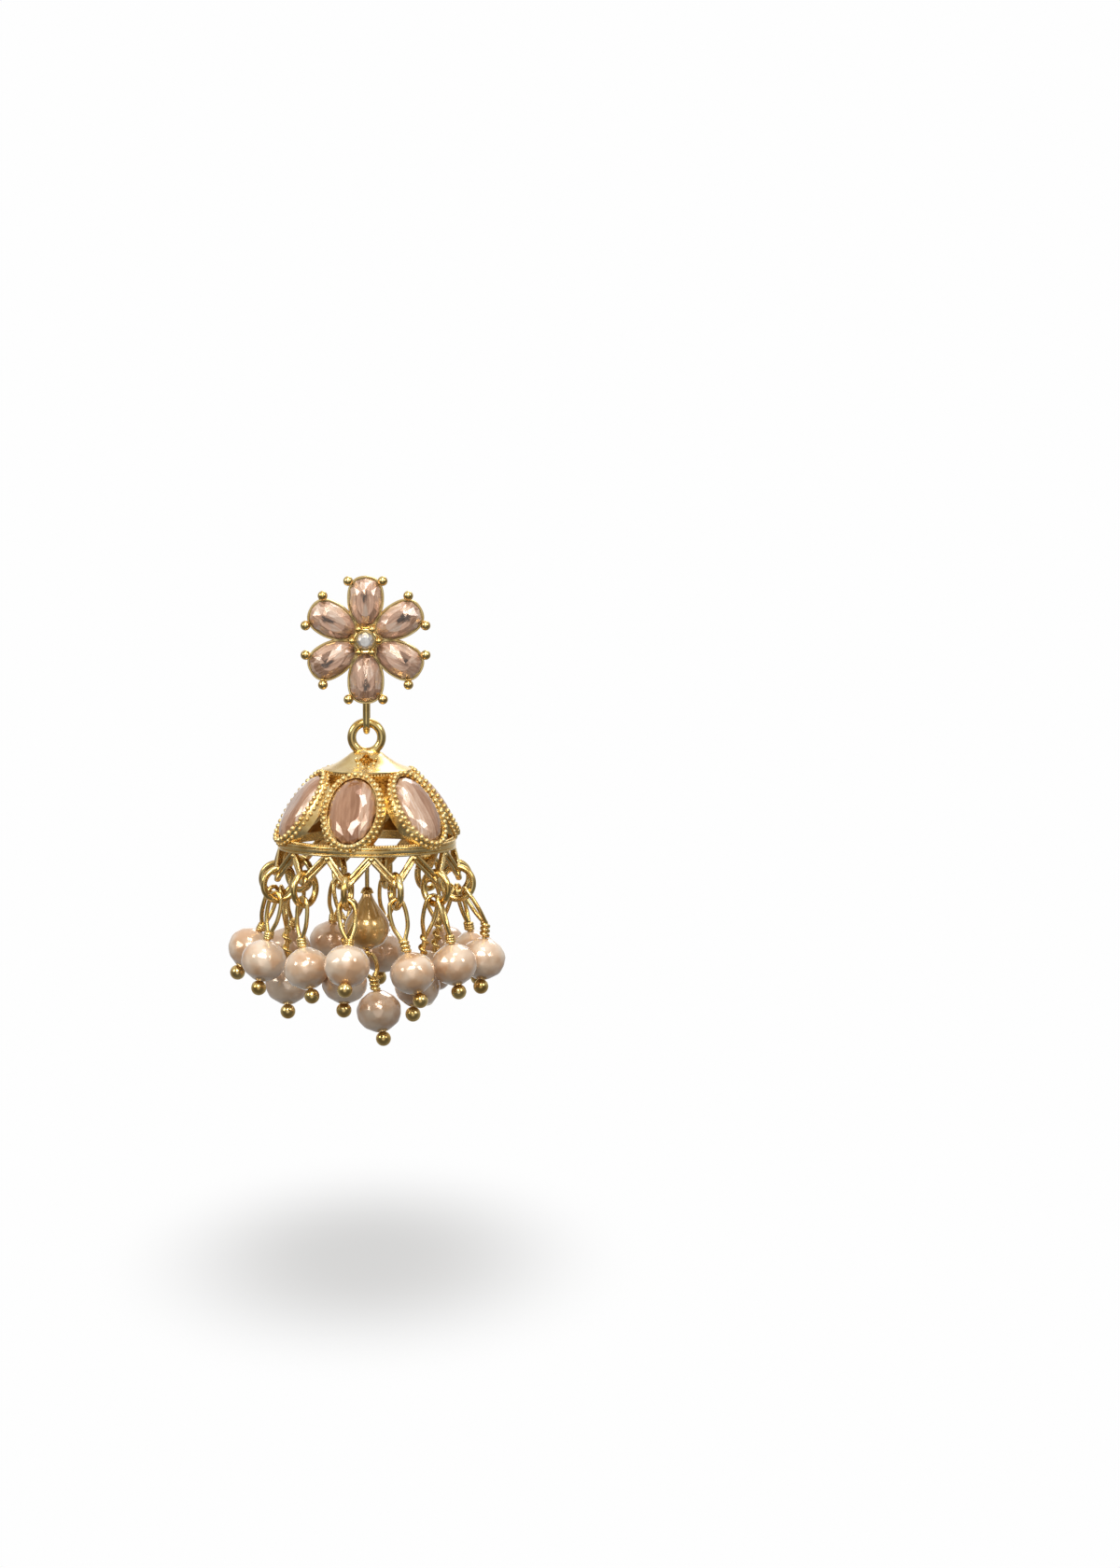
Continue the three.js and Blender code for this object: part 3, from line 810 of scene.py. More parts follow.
def jump_ring_tree(material: Material) -> NodeTreeMaker:
    """Tree that sets a round wire ring on each point of a mesh, edge on to the middle.

    Args:
        material: the rings' material.

    Returns:
        The tree, with the inputs Radius, Wire and Gap. Gap is the ring's open seam in radians.
    """
    maker = NodeTreeMaker("jump_rings")
    for name in ("Radius", "Wire", "Gap"):
        maker.number(name)
    tree, entry = maker.tree, maker.entry
    full = node(tree, "ShaderNodeMath", {"operation": "SUBTRACT"}, s0=2 * math.pi, s1=entry.outputs["Gap"])
    arc = node(
        tree,
        "GeometryNodeCurveArc",
        Resolution=56,
        Radius=entry.outputs["Radius"],
        Sweep_Angle=full.outputs[0],
    )
    section = node(tree, "GeometryNodeCurvePrimitiveCircle", Resolution=12, Radius=entry.outputs["Wire"])
    ring = node(
        tree,
        "GeometryNodeCurveToMesh",
        Curve=arc.outputs[0],
        Profile_Curve=section.outputs[0],
        Fill_Caps=True,
    )
    smooth = node(tree, "GeometryNodeSetShadeSmooth", Geometry=ring.outputs[0])
    facing = node(tree, "GeometryNodeInputNamedAttribute", {"data_type": "FLOAT_VECTOR"}, Name="ring_turn")
    dots = node(
        tree,
        "GeometryNodeInstanceOnPoints",
        Points=entry.outputs["Geometry"],
        Instance=smooth.outputs[0],
        Rotation=facing.outputs[0],
    )
    maker.finish(dots.outputs[0], material)
    return maker


def grain_tree(material: Material) -> NodeTreeMaker:
    """Tree that scatters small balls over a surface.

    Args:
        material: the grains' material.

    Returns:
        The tree, with the inputs Radius and Spacing, the least distance between grains, in metres.
    """
    maker = NodeTreeMaker("scattered_grains")
    maker.number("Radius")
    maker.number("Spacing")
    spread = node(
        maker.tree,
        "GeometryNodeDistributePointsOnFaces",
        {"distribute_method": "POISSON"},
        Mesh=maker.entry.outputs["Geometry"],
        Distance_Min=maker.entry.outputs["Spacing"],
        Density_Max=MOST_GRAINS,
        Seed=SEED,
    )
    maker.balls(spread.outputs[0], 1, material)
    return maker


class Cut:
    """A faceted stone facing -Y round the origin, whose points carry their place on it."""

    def __init__(self, outline: Callable[[float, float], Vector], sectors: int, seed: int) -> None:
        """Keep the stone's outline.

        Args:
            outline: point on the stone at an angle and a share of its size, at depth zero.
            sectors: facets round the girdle.
            seed: seed of its pavilion facets' tones and tilts.
        """
        self.outline = outline
        self.sectors = sectors
        self.random = random.Random(seed)

    def ring(self, share: float, height: float, half: bool = False) -> list[Vector]:
        """Points round the stone at a share of its size and a height above its girdle."""
        offset = 0.5 if half else 0.0
        points = []
        for k in range(self.sectors):
            flat = self.outline(2 * math.pi * (k + offset) / self.sectors, share)
            points.append(Vector((flat.x, -height, flat.z)))
        return points

    def build(self, name: str, levels: Sequence[tuple[float, float]], base: float, place: Matrix) -> Piece:
        """Make the stone with staggered rows of facets and a flat table.

        Args:
            name: the piece's name.
            levels: share and height of each row from the girdle up to the table's edge.
            base: height of the flat underside.
            place: where the stone goes.

        Returns:
            The stone with the attributes cut_place, cut_along and cut_across.
        """
        count = self.sectors
        points = [*self.ring(0.94, base), *self.ring(1.0, levels[0][1])]
        faces: list[tuple[int, ...]] = [tuple(range(count))]
        faces += [(k, (k + 1) % count, count + (k + 1) % count, count + k) for k in range(count)]
        half = False
        start = count
        for share, height in levels[1:]:
            half = not half
            points += self.ring(share, height, half)
            upper = start + count
            for k in range(count):
                after = (k + 1) % count
                faces.append((start + k, start + after, upper + (k if half else after)))
                faces.append((start + (after if half else k), upper + after, upper + k))
            start = upper
        faces.append(tuple(start + k for k in range(count)))
        shape = Shape()
        shape.points = [place @ p for p in points]
        shape.faces = faces
        piece = shape.object(name, sharp=0)
        self.mark(piece, place)
        return piece

    def mark(self, piece: Piece, place: Matrix) -> None:
        """Write each point's place on the stone and the stone's own directions for the material.

        Args:
            piece: the stone.
            place: where it was laid.
        """
        back = place.inverted()
        mesh = piece.data
        number = self.random.random() * 50
        half_x, half_z = self.outline(0, 1).x, self.outline(math.pi / 2, 1).z
        tall = half_z > half_x
        long_way, short_way = max(half_x, half_z), min(half_x, half_z)
        where = mesh.attributes.new("cut_place", "FLOAT_VECTOR", "POINT")
        for k, vertex in enumerate(mesh.vertices):
            local = back @ (vertex.co / MM)
            along, across = (local.z, local.x) if tall else (local.x, local.z)
            where.data[k].vector = (along / long_way, across / short_way, number)
        axes = (Vector((0, 0, 1)), Vector((1, 0, 0))) if tall else (Vector((1, 0, 0)), Vector((0, 0, 1)))
        for name, axis in zip(("cut_along", "cut_across"), axes):
            made = mesh.attributes.new(name, "FLOAT_VECTOR", "POINT")
            for item in made.data:
                item.vector = place.to_3x3() @ axis


@dataclass
class FlowerStud:
    """The flower: six pear cups round a collet, their prongs and stones, the back loop and the post."""

    petals: int = 6
    tip: float = 1.45
    end: float = 6.6
    half_width: float = 1.7
    taper: float = 0.12
    blunt: float = 0.86
    overhang: float = 0.02
    clearance: float = 0.05
    cup_wall: float = 0.2
    cup_front: float = -0.95
    cup_floor: float = -0.5
    prong_ball: float = 0.53
    prong_reach: float = 6.6
    prong_spread: float = 16.2
    prong_depth: float = -1.25
    collet_radius: float = 1.42
    collet_front: float = -2.25
    collet_hole: float = 1.0
    collet_floor: float = -1.6
    collet_ball: float = 0.37
    collet_reach: float = 1.42
    collet_depth: float = -2.35
    loop_radius: float = 1.25
    loop_wire: float = 0.35
    loop_height: float = -5.0
    post_radius: float = 0.45
    post_length: float = 11.0

    def pear(self, angle: float, share: float, margin: float = 0.0) -> Vector:
        """Point on the petal's outline round its own middle, long side along +X.

        Args:
            angle: the angle round the outline in radians, 0 at the outer end.
            share: 1 on the outline, less inside it.
            margin: added to both half sizes, in millimetres.

        Returns:
            The point, at depth zero.
        """
        half_length = (self.end - self.tip) / 2 + margin
        cosine, sine = math.cos(angle), math.sin(angle)
        power = self.blunt if cosine > 0 else 1.0
        along = math.copysign(abs(cosine) ** power, cosine)
        across = math.copysign(abs(sine) ** power, sine) * (1 + self.taper * cosine)
        return Vector((half_length * along * share, 0, (self.half_width + margin) * across * share))

    def petal_place(self, k: int) -> Matrix:
        """Matrix that lays a petal modelled round its middle along +X into place k."""
        middle = (self.tip + self.end) / 2
        return turn("Y", -90 - 360 / self.petals * k) @ shift(middle, 0, 0)

    def pear_ring(self, margin: float, depth: float, steps: int = 48) -> list[Vector]:
        """Outline of a petal with a margin, at a depth."""
        ring = []
        for k in range(steps):
            flat = self.pear(2 * math.pi * k / steps, 1.0, margin)
            ring.append(Vector((flat.x, depth, flat.z)))
        return ring

    def cup(self) -> Shape:
        """One open petal cup with a rounded front edge."""
        outer = self.clearance + self.cup_wall
        front = self.cup_front
        return Shape.loft([
            self.pear_ring(outer - 0.25, 0),
            self.pear_ring(outer, -0.15),
            self.pear_ring(outer, front + 0.1),
            self.pear_ring(outer - 0.05, front),
            self.pear_ring(self.clearance + 0.03, front),
            self.pear_ring(self.clearance, front + 0.08),
            self.pear_ring(self.clearance, self.cup_floor),
        ])

    def metal(self) -> Piece:
        """Cups, back plate, collet, prong legs, collar and back loop as one soldered piece."""
        shape = Shape()
        for k in range(self.petals):
            place = self.petal_place(k)
            shape.add(self.cup(), place)
            for side in (-1, 1):
                angle = math.radians(self.prong_spread * side)
                middle = (self.tip + self.end) / 2
                ahead, beside = self.prong_reach * math.cos(angle), self.prong_reach * math.sin(angle)
                tip = Vector((ahead - middle, self.prong_depth, beside))
                root = Vector((tip.x * 0.8, -0.2, tip.z * 0.8))
                bend = Vector((tip.x, -0.55, tip.z))
                path = [root, root.lerp(bend, 0.6), bend, tip]
                shape.add(Shape.tube(path, 0.3, 10), place)
        flat = turn("X", 90)
        plate = [(0.01, 0.0), (2.0, 0.0), (2.1, 0.08), (2.1, 0.4), (0.01, 0.45)]
        shape.add(Shape.turned(plate, 48), flat)
        front, hole = -self.collet_front, self.collet_hole
        collet = [
            (0.01, 0.1), (self.collet_radius - 0.2, 0.1), (self.collet_radius - 0.2, front - 0.6),
            (self.collet_radius - 0.08, front - 0.3), (self.collet_radius - 0.08, front - 0.15),
            (self.collet_radius - 0.14, front - 0.04), (self.collet_radius - 0.22, front),
            (hole + 0.1, front - 0.02), (hole + 0.02, front - 0.08), (hole, front - 0.2),
            (hole, -self.collet_floor), (0.01, -self.collet_floor),
        ]
        shape.add(Shape.turned(collet, 48), flat)
        collar = [
            (0.01, 0.05), (1.1, 0.05), (1.1, -0.45), (1.0, -0.55), (0.5, -0.55), (0.5, -0.2), (0.01, -0.2),
        ]
        shape.add(Shape.turned(collar, 48), flat)
        loop_place = shift(0, AXIS_Y, self.loop_height)
        shape.add(Shape.ring(self.loop_radius, self.loop_wire), loop_place)
        top = self.loop_height + self.loop_radius
        foot = [Vector((0, -0.2, top)), Vector((0, 0.5, top + 0.05)), Vector((0, AXIS_Y - 0.2, top + 0.02))]
        shape.add(Shape.tube(foot, 0.4, 14))
        return shape.object("flower_cups", sharp=35)

    def balls(self) -> Piece:
        """Prong balls round the petals."""
        places = []
        for k in range(self.petals):
            for side in (-1, 1):
                angle = math.radians(self.prong_spread * side)
                reach = self.prong_reach
                flat = Vector((reach * math.cos(angle), self.prong_depth, reach * math.sin(angle)))
                places.append(turn("Y", -90 - 360 / self.petals * k) @ flat)
        maker = point_ball_tree(WIRE_GOLD.material())
        base = point_cloud("prong_places", places)
        return maker.run(base, "petal_prong_balls", {"Radius": self.prong_ball * MM})

    def collet_balls(self) -> Piece:
        """Small balls round the centre stone."""
        flat = Vector((self.collet_reach, self.collet_depth, 0))
        places = [turn("Y", -360 / self.petals * k) @ flat for k in range(self.petals)]
        maker = point_ball_tree(WIRE_GOLD.material())
        base = point_cloud("collet_places", places)
        return maker.run(base, "collet_prong_balls", {"Radius": self.collet_ball * MM})

    def stones(self) -> None:
        """Six pear stones and the round centre stone."""
        for k in range(self.petals):
            cut = Cut(lambda angle, share: self.pear(angle, share, self.overhang), 12, SEED + k)
            levels = ((1.0, 1.06), (0.86, 1.5), (0.56, 1.92))
            piece = cut.build(f"petal_gem_{k + 1}", levels, 0.98, self.petal_place(k))
            dress(piece, CHAMPAGNE, Slot.CHAMPAGNE, Body.STUD, f"petal_stone_{k + 1}")
        radius = 0.95
        round_cut = Cut(lambda a, s: Vector((radius * s * math.cos(a), 0, radius * s * math.sin(a))), 8, SEED)
        levels = ((1.0, 2.2), (0.85, 2.5), (0.6, 2.72))
        centre = round_cut.build("centre_gem", levels, 1.65, Matrix.Identity(4))
        dress(centre, SMOKE, Slot.SMOKE, Body.STUD, "centre_stone")

    def post(self) -> Piece:
        """Plain round ear post with a rounded tip and a friction notch."""
        radius, tip = self.post_radius, self.post_length
        profile = [
            (0.01, 0.25), (radius, 0.25), (radius, tip - 2.6), (radius * 0.86, tip - 2.45),
            (radius * 0.86, tip - 2.15), (radius, tip - 2.0), (radius, tip - 0.6),
            (radius * 0.85, tip - 0.25), (radius * 0.5, tip - 0.05), (0.01, tip),
        ]
        shape = Shape().add(Shape.turned(profile, 28), turn("X", -90))
        return shape.object("stud_post", sharp=50)

    def build(self) -> None:
        """Make and dress the stud."""
        dress(self.metal(), CAST_GOLD, Slot.GOLD, Body.STUD, "flower_setting")
        dress(self.balls(), WIRE_GOLD, Slot.GOLD, Body.STUD, "flower_setting")
        dress(self.collet_balls(), WIRE_GOLD, Slot.GOLD, Body.STUD, "flower_setting")
        self.stones()
        dress(self.post(), WIRE_GOLD, Slot.GOLD, Body.STUD, "ear_post")


@dataclass
class DropLink:
    """The long wire link between the flower's back loop and the bell's top ring."""

    radius: float = 1.03
    wire: float = 0.38
    top: float = -5.47
    foot: float = -9.98
    steps: int = 24

    def build(self) -> None:
        """Make and dress the link."""
        path = []
        for end, sign in ((self.top - self.radius, 1), (self.foot + self.radius, -1)):
            for k in range(self.steps + 1):
                angle = math.pi * k / self.steps
                along = sign * self.radius * math.cos(angle)
                path.append(Vector((0, AXIS_Y + along, end + sign * self.radius * math.sin(angle))))
        piece = Shape.tube(path, self.wire, 14, loop=True).object("hanging_link", sharp=0)
        shade(piece, 60)
        dress(piece, WIRE_GOLD, Slot.GOLD, Body.LINK, "drop_link")


@dataclass
class Bell:
    """The bell: cap, pierced wall, band, zigzag skirt, oval settings, top ring and inner hook."""

    ovals: int = 6
    points: int = 12
    sides: int = 144
    cap: tuple[tuple[float, float], ...] = (
        (0.6, -12.0), (1.2, -12.08), (1.7, -12.33), (2.15, -12.7), (2.63, -13.04), (3.1, -13.35),
        (3.6, -13.62), (4.2, -13.86), (4.66, -13.98), (4.78, -14.06), (4.78, -14.2), (4.6, -14.28),
    )
    cap_inner: tuple[tuple[float, float], ...] = ((4.2, -14.6), (2.6, -14.1), (0.6, -13.9))
    wall_top: tuple[float, float] = (4.55, -14.25)
    wall_foot: tuple[float, float] = (9.05, -21.6)
    wall_thickness: float = 0.5
    band_radius: float = 9.6
    band_inner: float = 8.75
    band_top: float = -21.55
    band_bottom: float = -22.6
    skirt_top: tuple[float, float] = (9.2, -22.75)
    skirt_foot: tuple[float, float] = (10.05, -25.35)
    half_width: float = 2.55
    half_length: float = 3.95
    seat_radius: float = 7.5
    seat_height: float = -17.85
    lean: float = 35.1
    cup_depth: float = 1.25
    window_apex: float = -18.4
    window_foot: float = -21.45
    window_half_width: float = 2.6
    top_radius: float = 1.6
    top_wire: float = 0.48
    top_height: float = -10.67
    hook_radius: float = 0.8
    hook_wire: float = 0.24
    hook_height: float = -14.46

    def seat(self, k: int) -> Matrix:
        """Matrix that lays a piece facing -Y into oval seat k."""
        place = shift(0, -self.seat_radius, self.seat_height)
        return radial(FRONT_TURN + 360 / self.ovals * k) @ place @ turn("X", -self.lean)

    def dome(self) -> Piece:
        """Smooth cap with a four-lobed recess in front and behind."""
        cap = Shape().add(Shape.turned([*self.cap, *self.cap_inner], self.sides), BELL_AXIS)
        piece = cap.object("bell_cap", sharp=35)
        cutter = Shape()
        for place in self.floret_places():
            for x, z in ((0, 0.5), (0, -0.5), (0.42, 0), (-0.42, 0)):
                lobe = Shape.turned([(0.4, -0.6), (0.4, 0.6)], 24)
                cutter.add(lobe, place @ shift(x, 0, z) @ turn("X", 90))
        self.cut(piece, cutter, "floret_cutter")
        return piece

    def floret_places(self) -> list[Matrix]:
        """Frames of the two recesses on the cap, with -Y out of its surface."""
        return [radial(face) @ shift(0, -2.5, -12.86) @ turn("X", -54) for face in (0, 180)]

    def cut(self, piece: Piece, cutter: Shape, name: str) -> None:
        """Take a cutter away from a piece.

        Args:
            piece: the object to cut.
            cutter: closed parts, which may overlap.
            name: the cutter's name while it works.
        """
        tool = cutter.object(name)
        cut = piece.modifiers.new(name, "BOOLEAN")
        cut.operation = "DIFFERENCE"
        cut.solver = "EXACT"
        cut.use_self = True
        cut.object = tool
        apply_modifiers(piece)
        bpy.data.objects.remove(tool)
        shade(piece, 35)

    def wall(self) -> Piece:
        """Wall behind the settings with a pierced window between each two ovals."""
        (top, high), (foot, low) = self.wall_top, self.wall_foot
        thick = self.wall_thickness
        profile = [(top, high), (foot, low), (foot - thick, low), (top - thick, high - 0.2)]
        piece = Shape().add(Shape.turned(profile, self.sides, closed=True), BELL_AXIS).object("bell_wall")
        cutter = Shape()
        for k in range(self.ovals):
            foot_x, apex, low = self.window_half_width, self.window_apex, self.window_foot
            outline = [
                (-foot_x, low), (-foot_x * 0.62, (low + apex) / 2 - 0.1), (-0.3, apex + 0.12),
                (0, apex + 0.25), (0.3, apex + 0.12), (foot_x * 0.62, (low + apex) / 2 - 0.1), (foot_x, low),
            ]
            rings = [[Vector((x, -reach, z)) for x, z in outline] for reach in (4, 13)]
            cutter.add(Shape.loft(rings), radial(FRONT_TURN + LUG_STEP + 360 / self.ovals * k))
        self.cut(piece, cutter, "window_cutter")
        return piece

    def band(self) -> Piece:
        """Plain band at the bell's foot with rounded lips and two fine turned lines."""
        outer, inner, top, low = self.band_radius, self.band_inner, self.band_top, self.band_bottom
        profile = [
            (inner, top), (outer - 0.12, top), (outer - 0.03, top - 0.05), (outer, top - 0.14),
            (outer - 0.02, top - 0.24), (outer - 0.1, top - 0.29), (outer - 0.04, top - 0.34),
            (outer - 0.02, top - 0.45), (outer - 0.02, low + 0.42), (outer - 0.04, low + 0.33),
            (outer - 0.1, low + 0.28), (outer - 0.02, low + 0.23), (outer, low + 0.13),
            (outer - 0.04, low + 0.04), (outer - 0.14, low), (inner, low),
        ]
        shape = Shape().add(Shape.turned(profile, 192, closed=True), BELL_AXIS)
        return shape.object("bell_band", sharp=35)

    def on_skirt(self, degrees: float, share: float, lift: float = 0.0) -> Vector:
        """Point on the skirt's outer cone.

        Args:
            degrees: the angle round the bell from the front.
            share: the share of the way down the skirt.
            lift: how far the point stands off the cone, in millimetres.

        Returns:
            The point.
        """
        radius = self.skirt_top[0] + (self.skirt_foot[0] - self.skirt_top[0]) * share + lift
        height = self.skirt_top[1] + (self.skirt_foot[1] - self.skirt_top[1]) * share
        angle = math.radians(degrees)
        return Vector((radius * math.sin(angle), AXIS_Y - radius * math.cos(angle), height))

    def zigzag(self, offset: float) -> tuple[list[Vector], list[Vector]]:
        """Centre line of a zigzag wire, with slightly rounded corners.

        Args:
            offset: how far up it is shifted, in millimetres.

        Returns:
            The line's points and the skirt's normals there.
        """
        path, normals = [], []
        steps = 8
        for k in range(self.points):
            for step in range(2 * steps):
                share = step / steps
                down = 0.5 - 0.5 * math.cos(math.pi * share)
                down = 0.25 * down + 0.75 * (share if share < 1 else 2 - share)
                degrees = FRONT_TURN + LUG_STEP * (k - 0.5 + 0.5 * share)
                path.append(self.on_skirt(degrees, down) + Vector((0, 0, offset)))
                angle = math.radians(degrees)
                normals.append(Vector((math.sin(angle), -math.cos(angle), 0.31)).normalized())
        return path, normals

    def skirt(self) -> Piece:
        """Zigzag of two wires on a thin strip, with a lug at each low point."""
        section = [(-0.3, -0.3), (-0.3, 0.06), (0.3, 0.06), (0.3, -0.3)]
        path, normals = self.zigzag(0)
        count = len(path)
        rings = []
        for k, (place, normal) in enumerate(zip(path, normals)):
            before = (place - path[k - 1]).normalized()
            after = (path[(k + 1) % count] - place).normalized()
            tangent = (before + after).normalized()
            side = tangent.cross(normal).normalized()
            spread = min(1.6, 1 / max(0.3, tangent.dot(after)))
            rings.append([place + side * (x * spread) + normal * y for x, y in section])
        shape = Shape.loft(rings, loop=True)
        for offset in (0.37, -0.37):
            path, normals = self.zigzag(offset)
            raised = [place + normal * 0.06 for place, normal in zip(path, normals)]
            shape.add(Shape.tube(raised, 0.22, 8, loop=True))
        for k in range(self.points):
            lug = [(0.0, 0.5), (0.3, 0.42), (0.42, 0.1), (0.4, -0.25), (0.22, -0.45), (0.0, -0.52)]
            outline = [*lug, *[(-x, z) for x, z in reversed(lug[1:-1])]]
            place = radial(FRONT_TURN + LUG_STEP * k) @ shift(0, -self.skirt_foot[0], self.skirt_foot[1])
            levels = ((-0.34, 0.85), (-0.24, 1), (0.16, 1), (0.24, 0.8))
            rings = [[Vector((x * s, -y, z * s)) for x, z in outline] for y, s in levels]
            shape.add(Shape.loft(rings), place @ turn("X", -18))
            apex = self.on_skirt(FRONT_TURN + LUG_STEP * (k + 0.5), 0.05, 0.12)
            shape.add(Shape.ball(0.3, apex, 14, 8))
        return shape.object("zigzag_skirt", sharp=45)

    def oval_ring(self, margin: float, long_margin: float, height: float, steps: int = 72) -> list[Vector]:
        """Ellipse round an oval seat.

        Args:
            margin: added to the stone's half width.
            long_margin: added to its half length.
            height: how far the ring stands above the seat.
            steps: points round the ring.

        Returns:
            The ring's points.
        """
        ring = []
        for k in range(steps):
            angle = 2 * math.pi * k / steps
            across = (self.half_width + margin) * math.cos(angle)
            ring.append(Vector((across, -height, (self.half_length + long_margin) * math.sin(angle))))
        return ring

    def bezels(self) -> Piece:
        """Six flared cups that hold the oval stones."""
        levels = (
            (0.92, 0.84, -self.cup_depth), (0.84, 0.76, -0.9), (0.7, 0.64, -0.45), (0.6, 0.56, -0.05),
            (0.52, 0.5, 0.02), (0.14, 0.13, 0.02), (0.07, 0.07, -0.08), (0.07, 0.07, -0.6),
        )
        cup = Shape.loft([self.oval_ring(*level) for level in levels])
        shape = Shape()
        for k in range(self.ovals):
            shape.add(cup, self.seat(k))
        return shape.object("oval_bezels", sharp=40)

    def rows(self) -> None:
        """Milgrain: a bold row of beads on each bezel's edge and finer ones down its flare."""
        maker = bead_row_tree(BEAD_GOLD.material())
        # Name, margins and height of each ring, its beads' radius and count, and their stagger
        rows = (
            ("milgrain_rim", 0.46, 0.46, 0.1, 0.285, 35, 0.0),
            ("milgrain_flank", 0.74, 0.7, -0.42, 0.23, 38, 0.5),
        )
        for name, margin, long_margin, height, radius, count, stagger in rows:
            ring = self.oval_ring(margin, long_margin, height, 180)
            start = round(stagger * 180 / count)
            ring = ring[start:] + ring[:start]
            splines = [[self.seat(k) @ p for p in ring] for k in range(self.ovals)]
            base = curve_object(name, splines)
            piece = maker.run(base, name, {"Radius": radius * MM, "Count": count})
            dress(piece, BEAD_GOLD, Slot.GOLD, Body.BELL, CAGE)

    def collars(self) -> None:
        """Beaded lines where the cap meets the wall and above the band."""
        maker = bead_row_tree(CAST_GOLD.material())
        for name, radius, height, size, count in (
            ("cap_edge_beads", 4.5, -14.42, 0.17, 84),
            ("wall_foot_beads", 9.2, -21.5, 0.15, 196),
        ):
            angles = [2 * math.pi * k / 240 for k in range(240)]
            ring = [Vector((radius * math.cos(a), AXIS_Y + radius * math.sin(a), height)) for a in angles]
            piece = maker.run(curve_object(name, [ring]), name, {"Radius": size * MM, "Count": count})
            dress(piece, CAST_GOLD, Slot.GOLD, Body.BELL, CAGE)

    def grains(self) -> None:
        """Fine grains scattered over the wall between the settings."""
        strip = Shape()
        for k in range(self.ovals):
            rows = []
            for step in range(7):
                height = -14.5 - step * 0.62
                share = (height - self.wall_top[1]) / (self.wall_foot[1] - self.wall_top[1])
                radius = self.wall_top[0] + (self.wall_foot[0] - self.wall_top[0]) * share
                reach = math.degrees((0.95 - 0.1 * step) / radius)
                middle = FRONT_TURN + LUG_STEP + 360 / self.ovals * k
                angles = [math.radians(middle + reach * side) for side in (-1, 0, 1)]
                rows.append([
                    Vector((radius * math.sin(a), AXIS_Y - radius * math.cos(a), height)) for a in angles
                ])
            start = len(strip.points)
            strip.points += [p for row in rows for p in row]
            for row in range(len(rows) - 1):
                for column in (0, 1):
                    low = start + row * 3 + column
                    strip.faces.append((low, low + 1, low + 4, low + 3))
        base = strip.object("grain_ground")
        # The grains take the darker gold, a painted shade between the settings
        maker = grain_tree(SHADED_RECESS_GOLD.material())
        piece = maker.run(base, "wall_grains", {"Radius": 0.15 * MM, "Spacing": 0.3 * MM})
        dress(piece, SHADED_RECESS_GOLD, Slot.GOLD, Body.BELL, CAGE)

    def loops(self) -> Piece:
        """Top ring over the cap and the hook inside the bell."""
        shape = Shape()
        shape.add(Shape.ring(self.top_radius, self.top_wire, 80, 18), shift(0, AXIS_Y, self.top_height))
        shape.add(Shape.ring(self.hook_radius, self.hook_wire), shift(0, AXIS_Y, self.hook_height))
        return shape.object("bell_loops", sharp=60)

    def floret(self) -> Piece:
        """Four low domes on the floor of each recess in the cap."""
        shape = Shape()
        for place in self.floret_places():
            flat = Matrix.Diagonal((1, 0.4, 1, 1))
            for x, z in ((0, 0.48), (0, -0.48), (0.4, 0), (-0.4, 0)):
                shape.add(Shape.ball(0.3, Vector((0, 0, 0)), 16, 10), place @ shift(x, 0.56, z) @ flat)
        return shape.object("cap_floret", sharp=60)

    def bosses(self) -> Piece:
        """Small balls beside and below each recess."""
        around = ((1.08, 0.2), (-1.08, 0.2), (0.86, -0.6), (-0.86, -0.6), (0.34, -1.16), (-0.34, -1.16))
        places = [place @ Vector((x, 0.06, z)) for place in self.floret_places() for x, z in around]
        base = point_cloud("boss_places", places)
        return point_ball_tree(CAST_GOLD.material()).run(base, "cap_bosses", {"Radius": 0.19 * MM})

    def stones(self) -> None:
        """Six oval stones with long soft facets."""
        def outline(angle: float, share: float) -> Vector:
            """Point on the oval stone at an angle and a share of its size."""
            across, along = self.half_width * share * math.cos(angle), self.half_length * share * math.sin(angle)
            return Vector((across, 0, along))

        for k in range(self.ovals):
            cut = Cut(outline, 14, SEED * 3 + k)
            levels = ((1.0, -0.12), (0.95, 0.2), (0.84, 0.48), (0.68, 0.7), (0.48, 0.84))
            piece = cut.build(f"oval_gem_{k + 1}", levels, -0.5, self.seat(k))
            dress(piece, PEACH, Slot.PEACH, Body.BELL, f"oval_stone_{k + 1}")

    def build(self) -> None:
        """Make and dress the bell."""
        # The wall takes the darker gold, a painted shade deep between the settings
        for make, finish in (
            (self.dome, CAST_GOLD), (self.wall, SHADED_RECESS_GOLD), (self.band, CAST_GOLD),
            (self.skirt, CAST_GOLD), (self.bezels, CAST_GOLD),
        ):
            dress(make(), finish, Slot.GOLD, Body.BELL, CAGE)
        self.rows()
        self.collars()
        self.grains()
        # The floret's domes take the same darker gold, a painted shade in the cap's recesses
        for make, finish in ((self.loops, WIRE_GOLD), (self.floret, SHADED_RECESS_GOLD), (self.bosses, CAST_GOLD)):
            dress(make(), finish, Slot.GOLD, Body.BELL, CAGE)
        self.stones()


@dataclass(frozen=True)
class Hang:
    """How one drop hangs: angles in degrees, lengths in millimetres.

    Hook is where on its ring the drop hangs, out and side are its eye's tilts, turn is the eye's turn
    round itself, nod and lean tilt the bead on its pin, and length is from the ring to the bead.
    """

    ring: int
    hook: float
    out: float
    side: float
    turn: float
    nod: float
    lean: float
    length: float


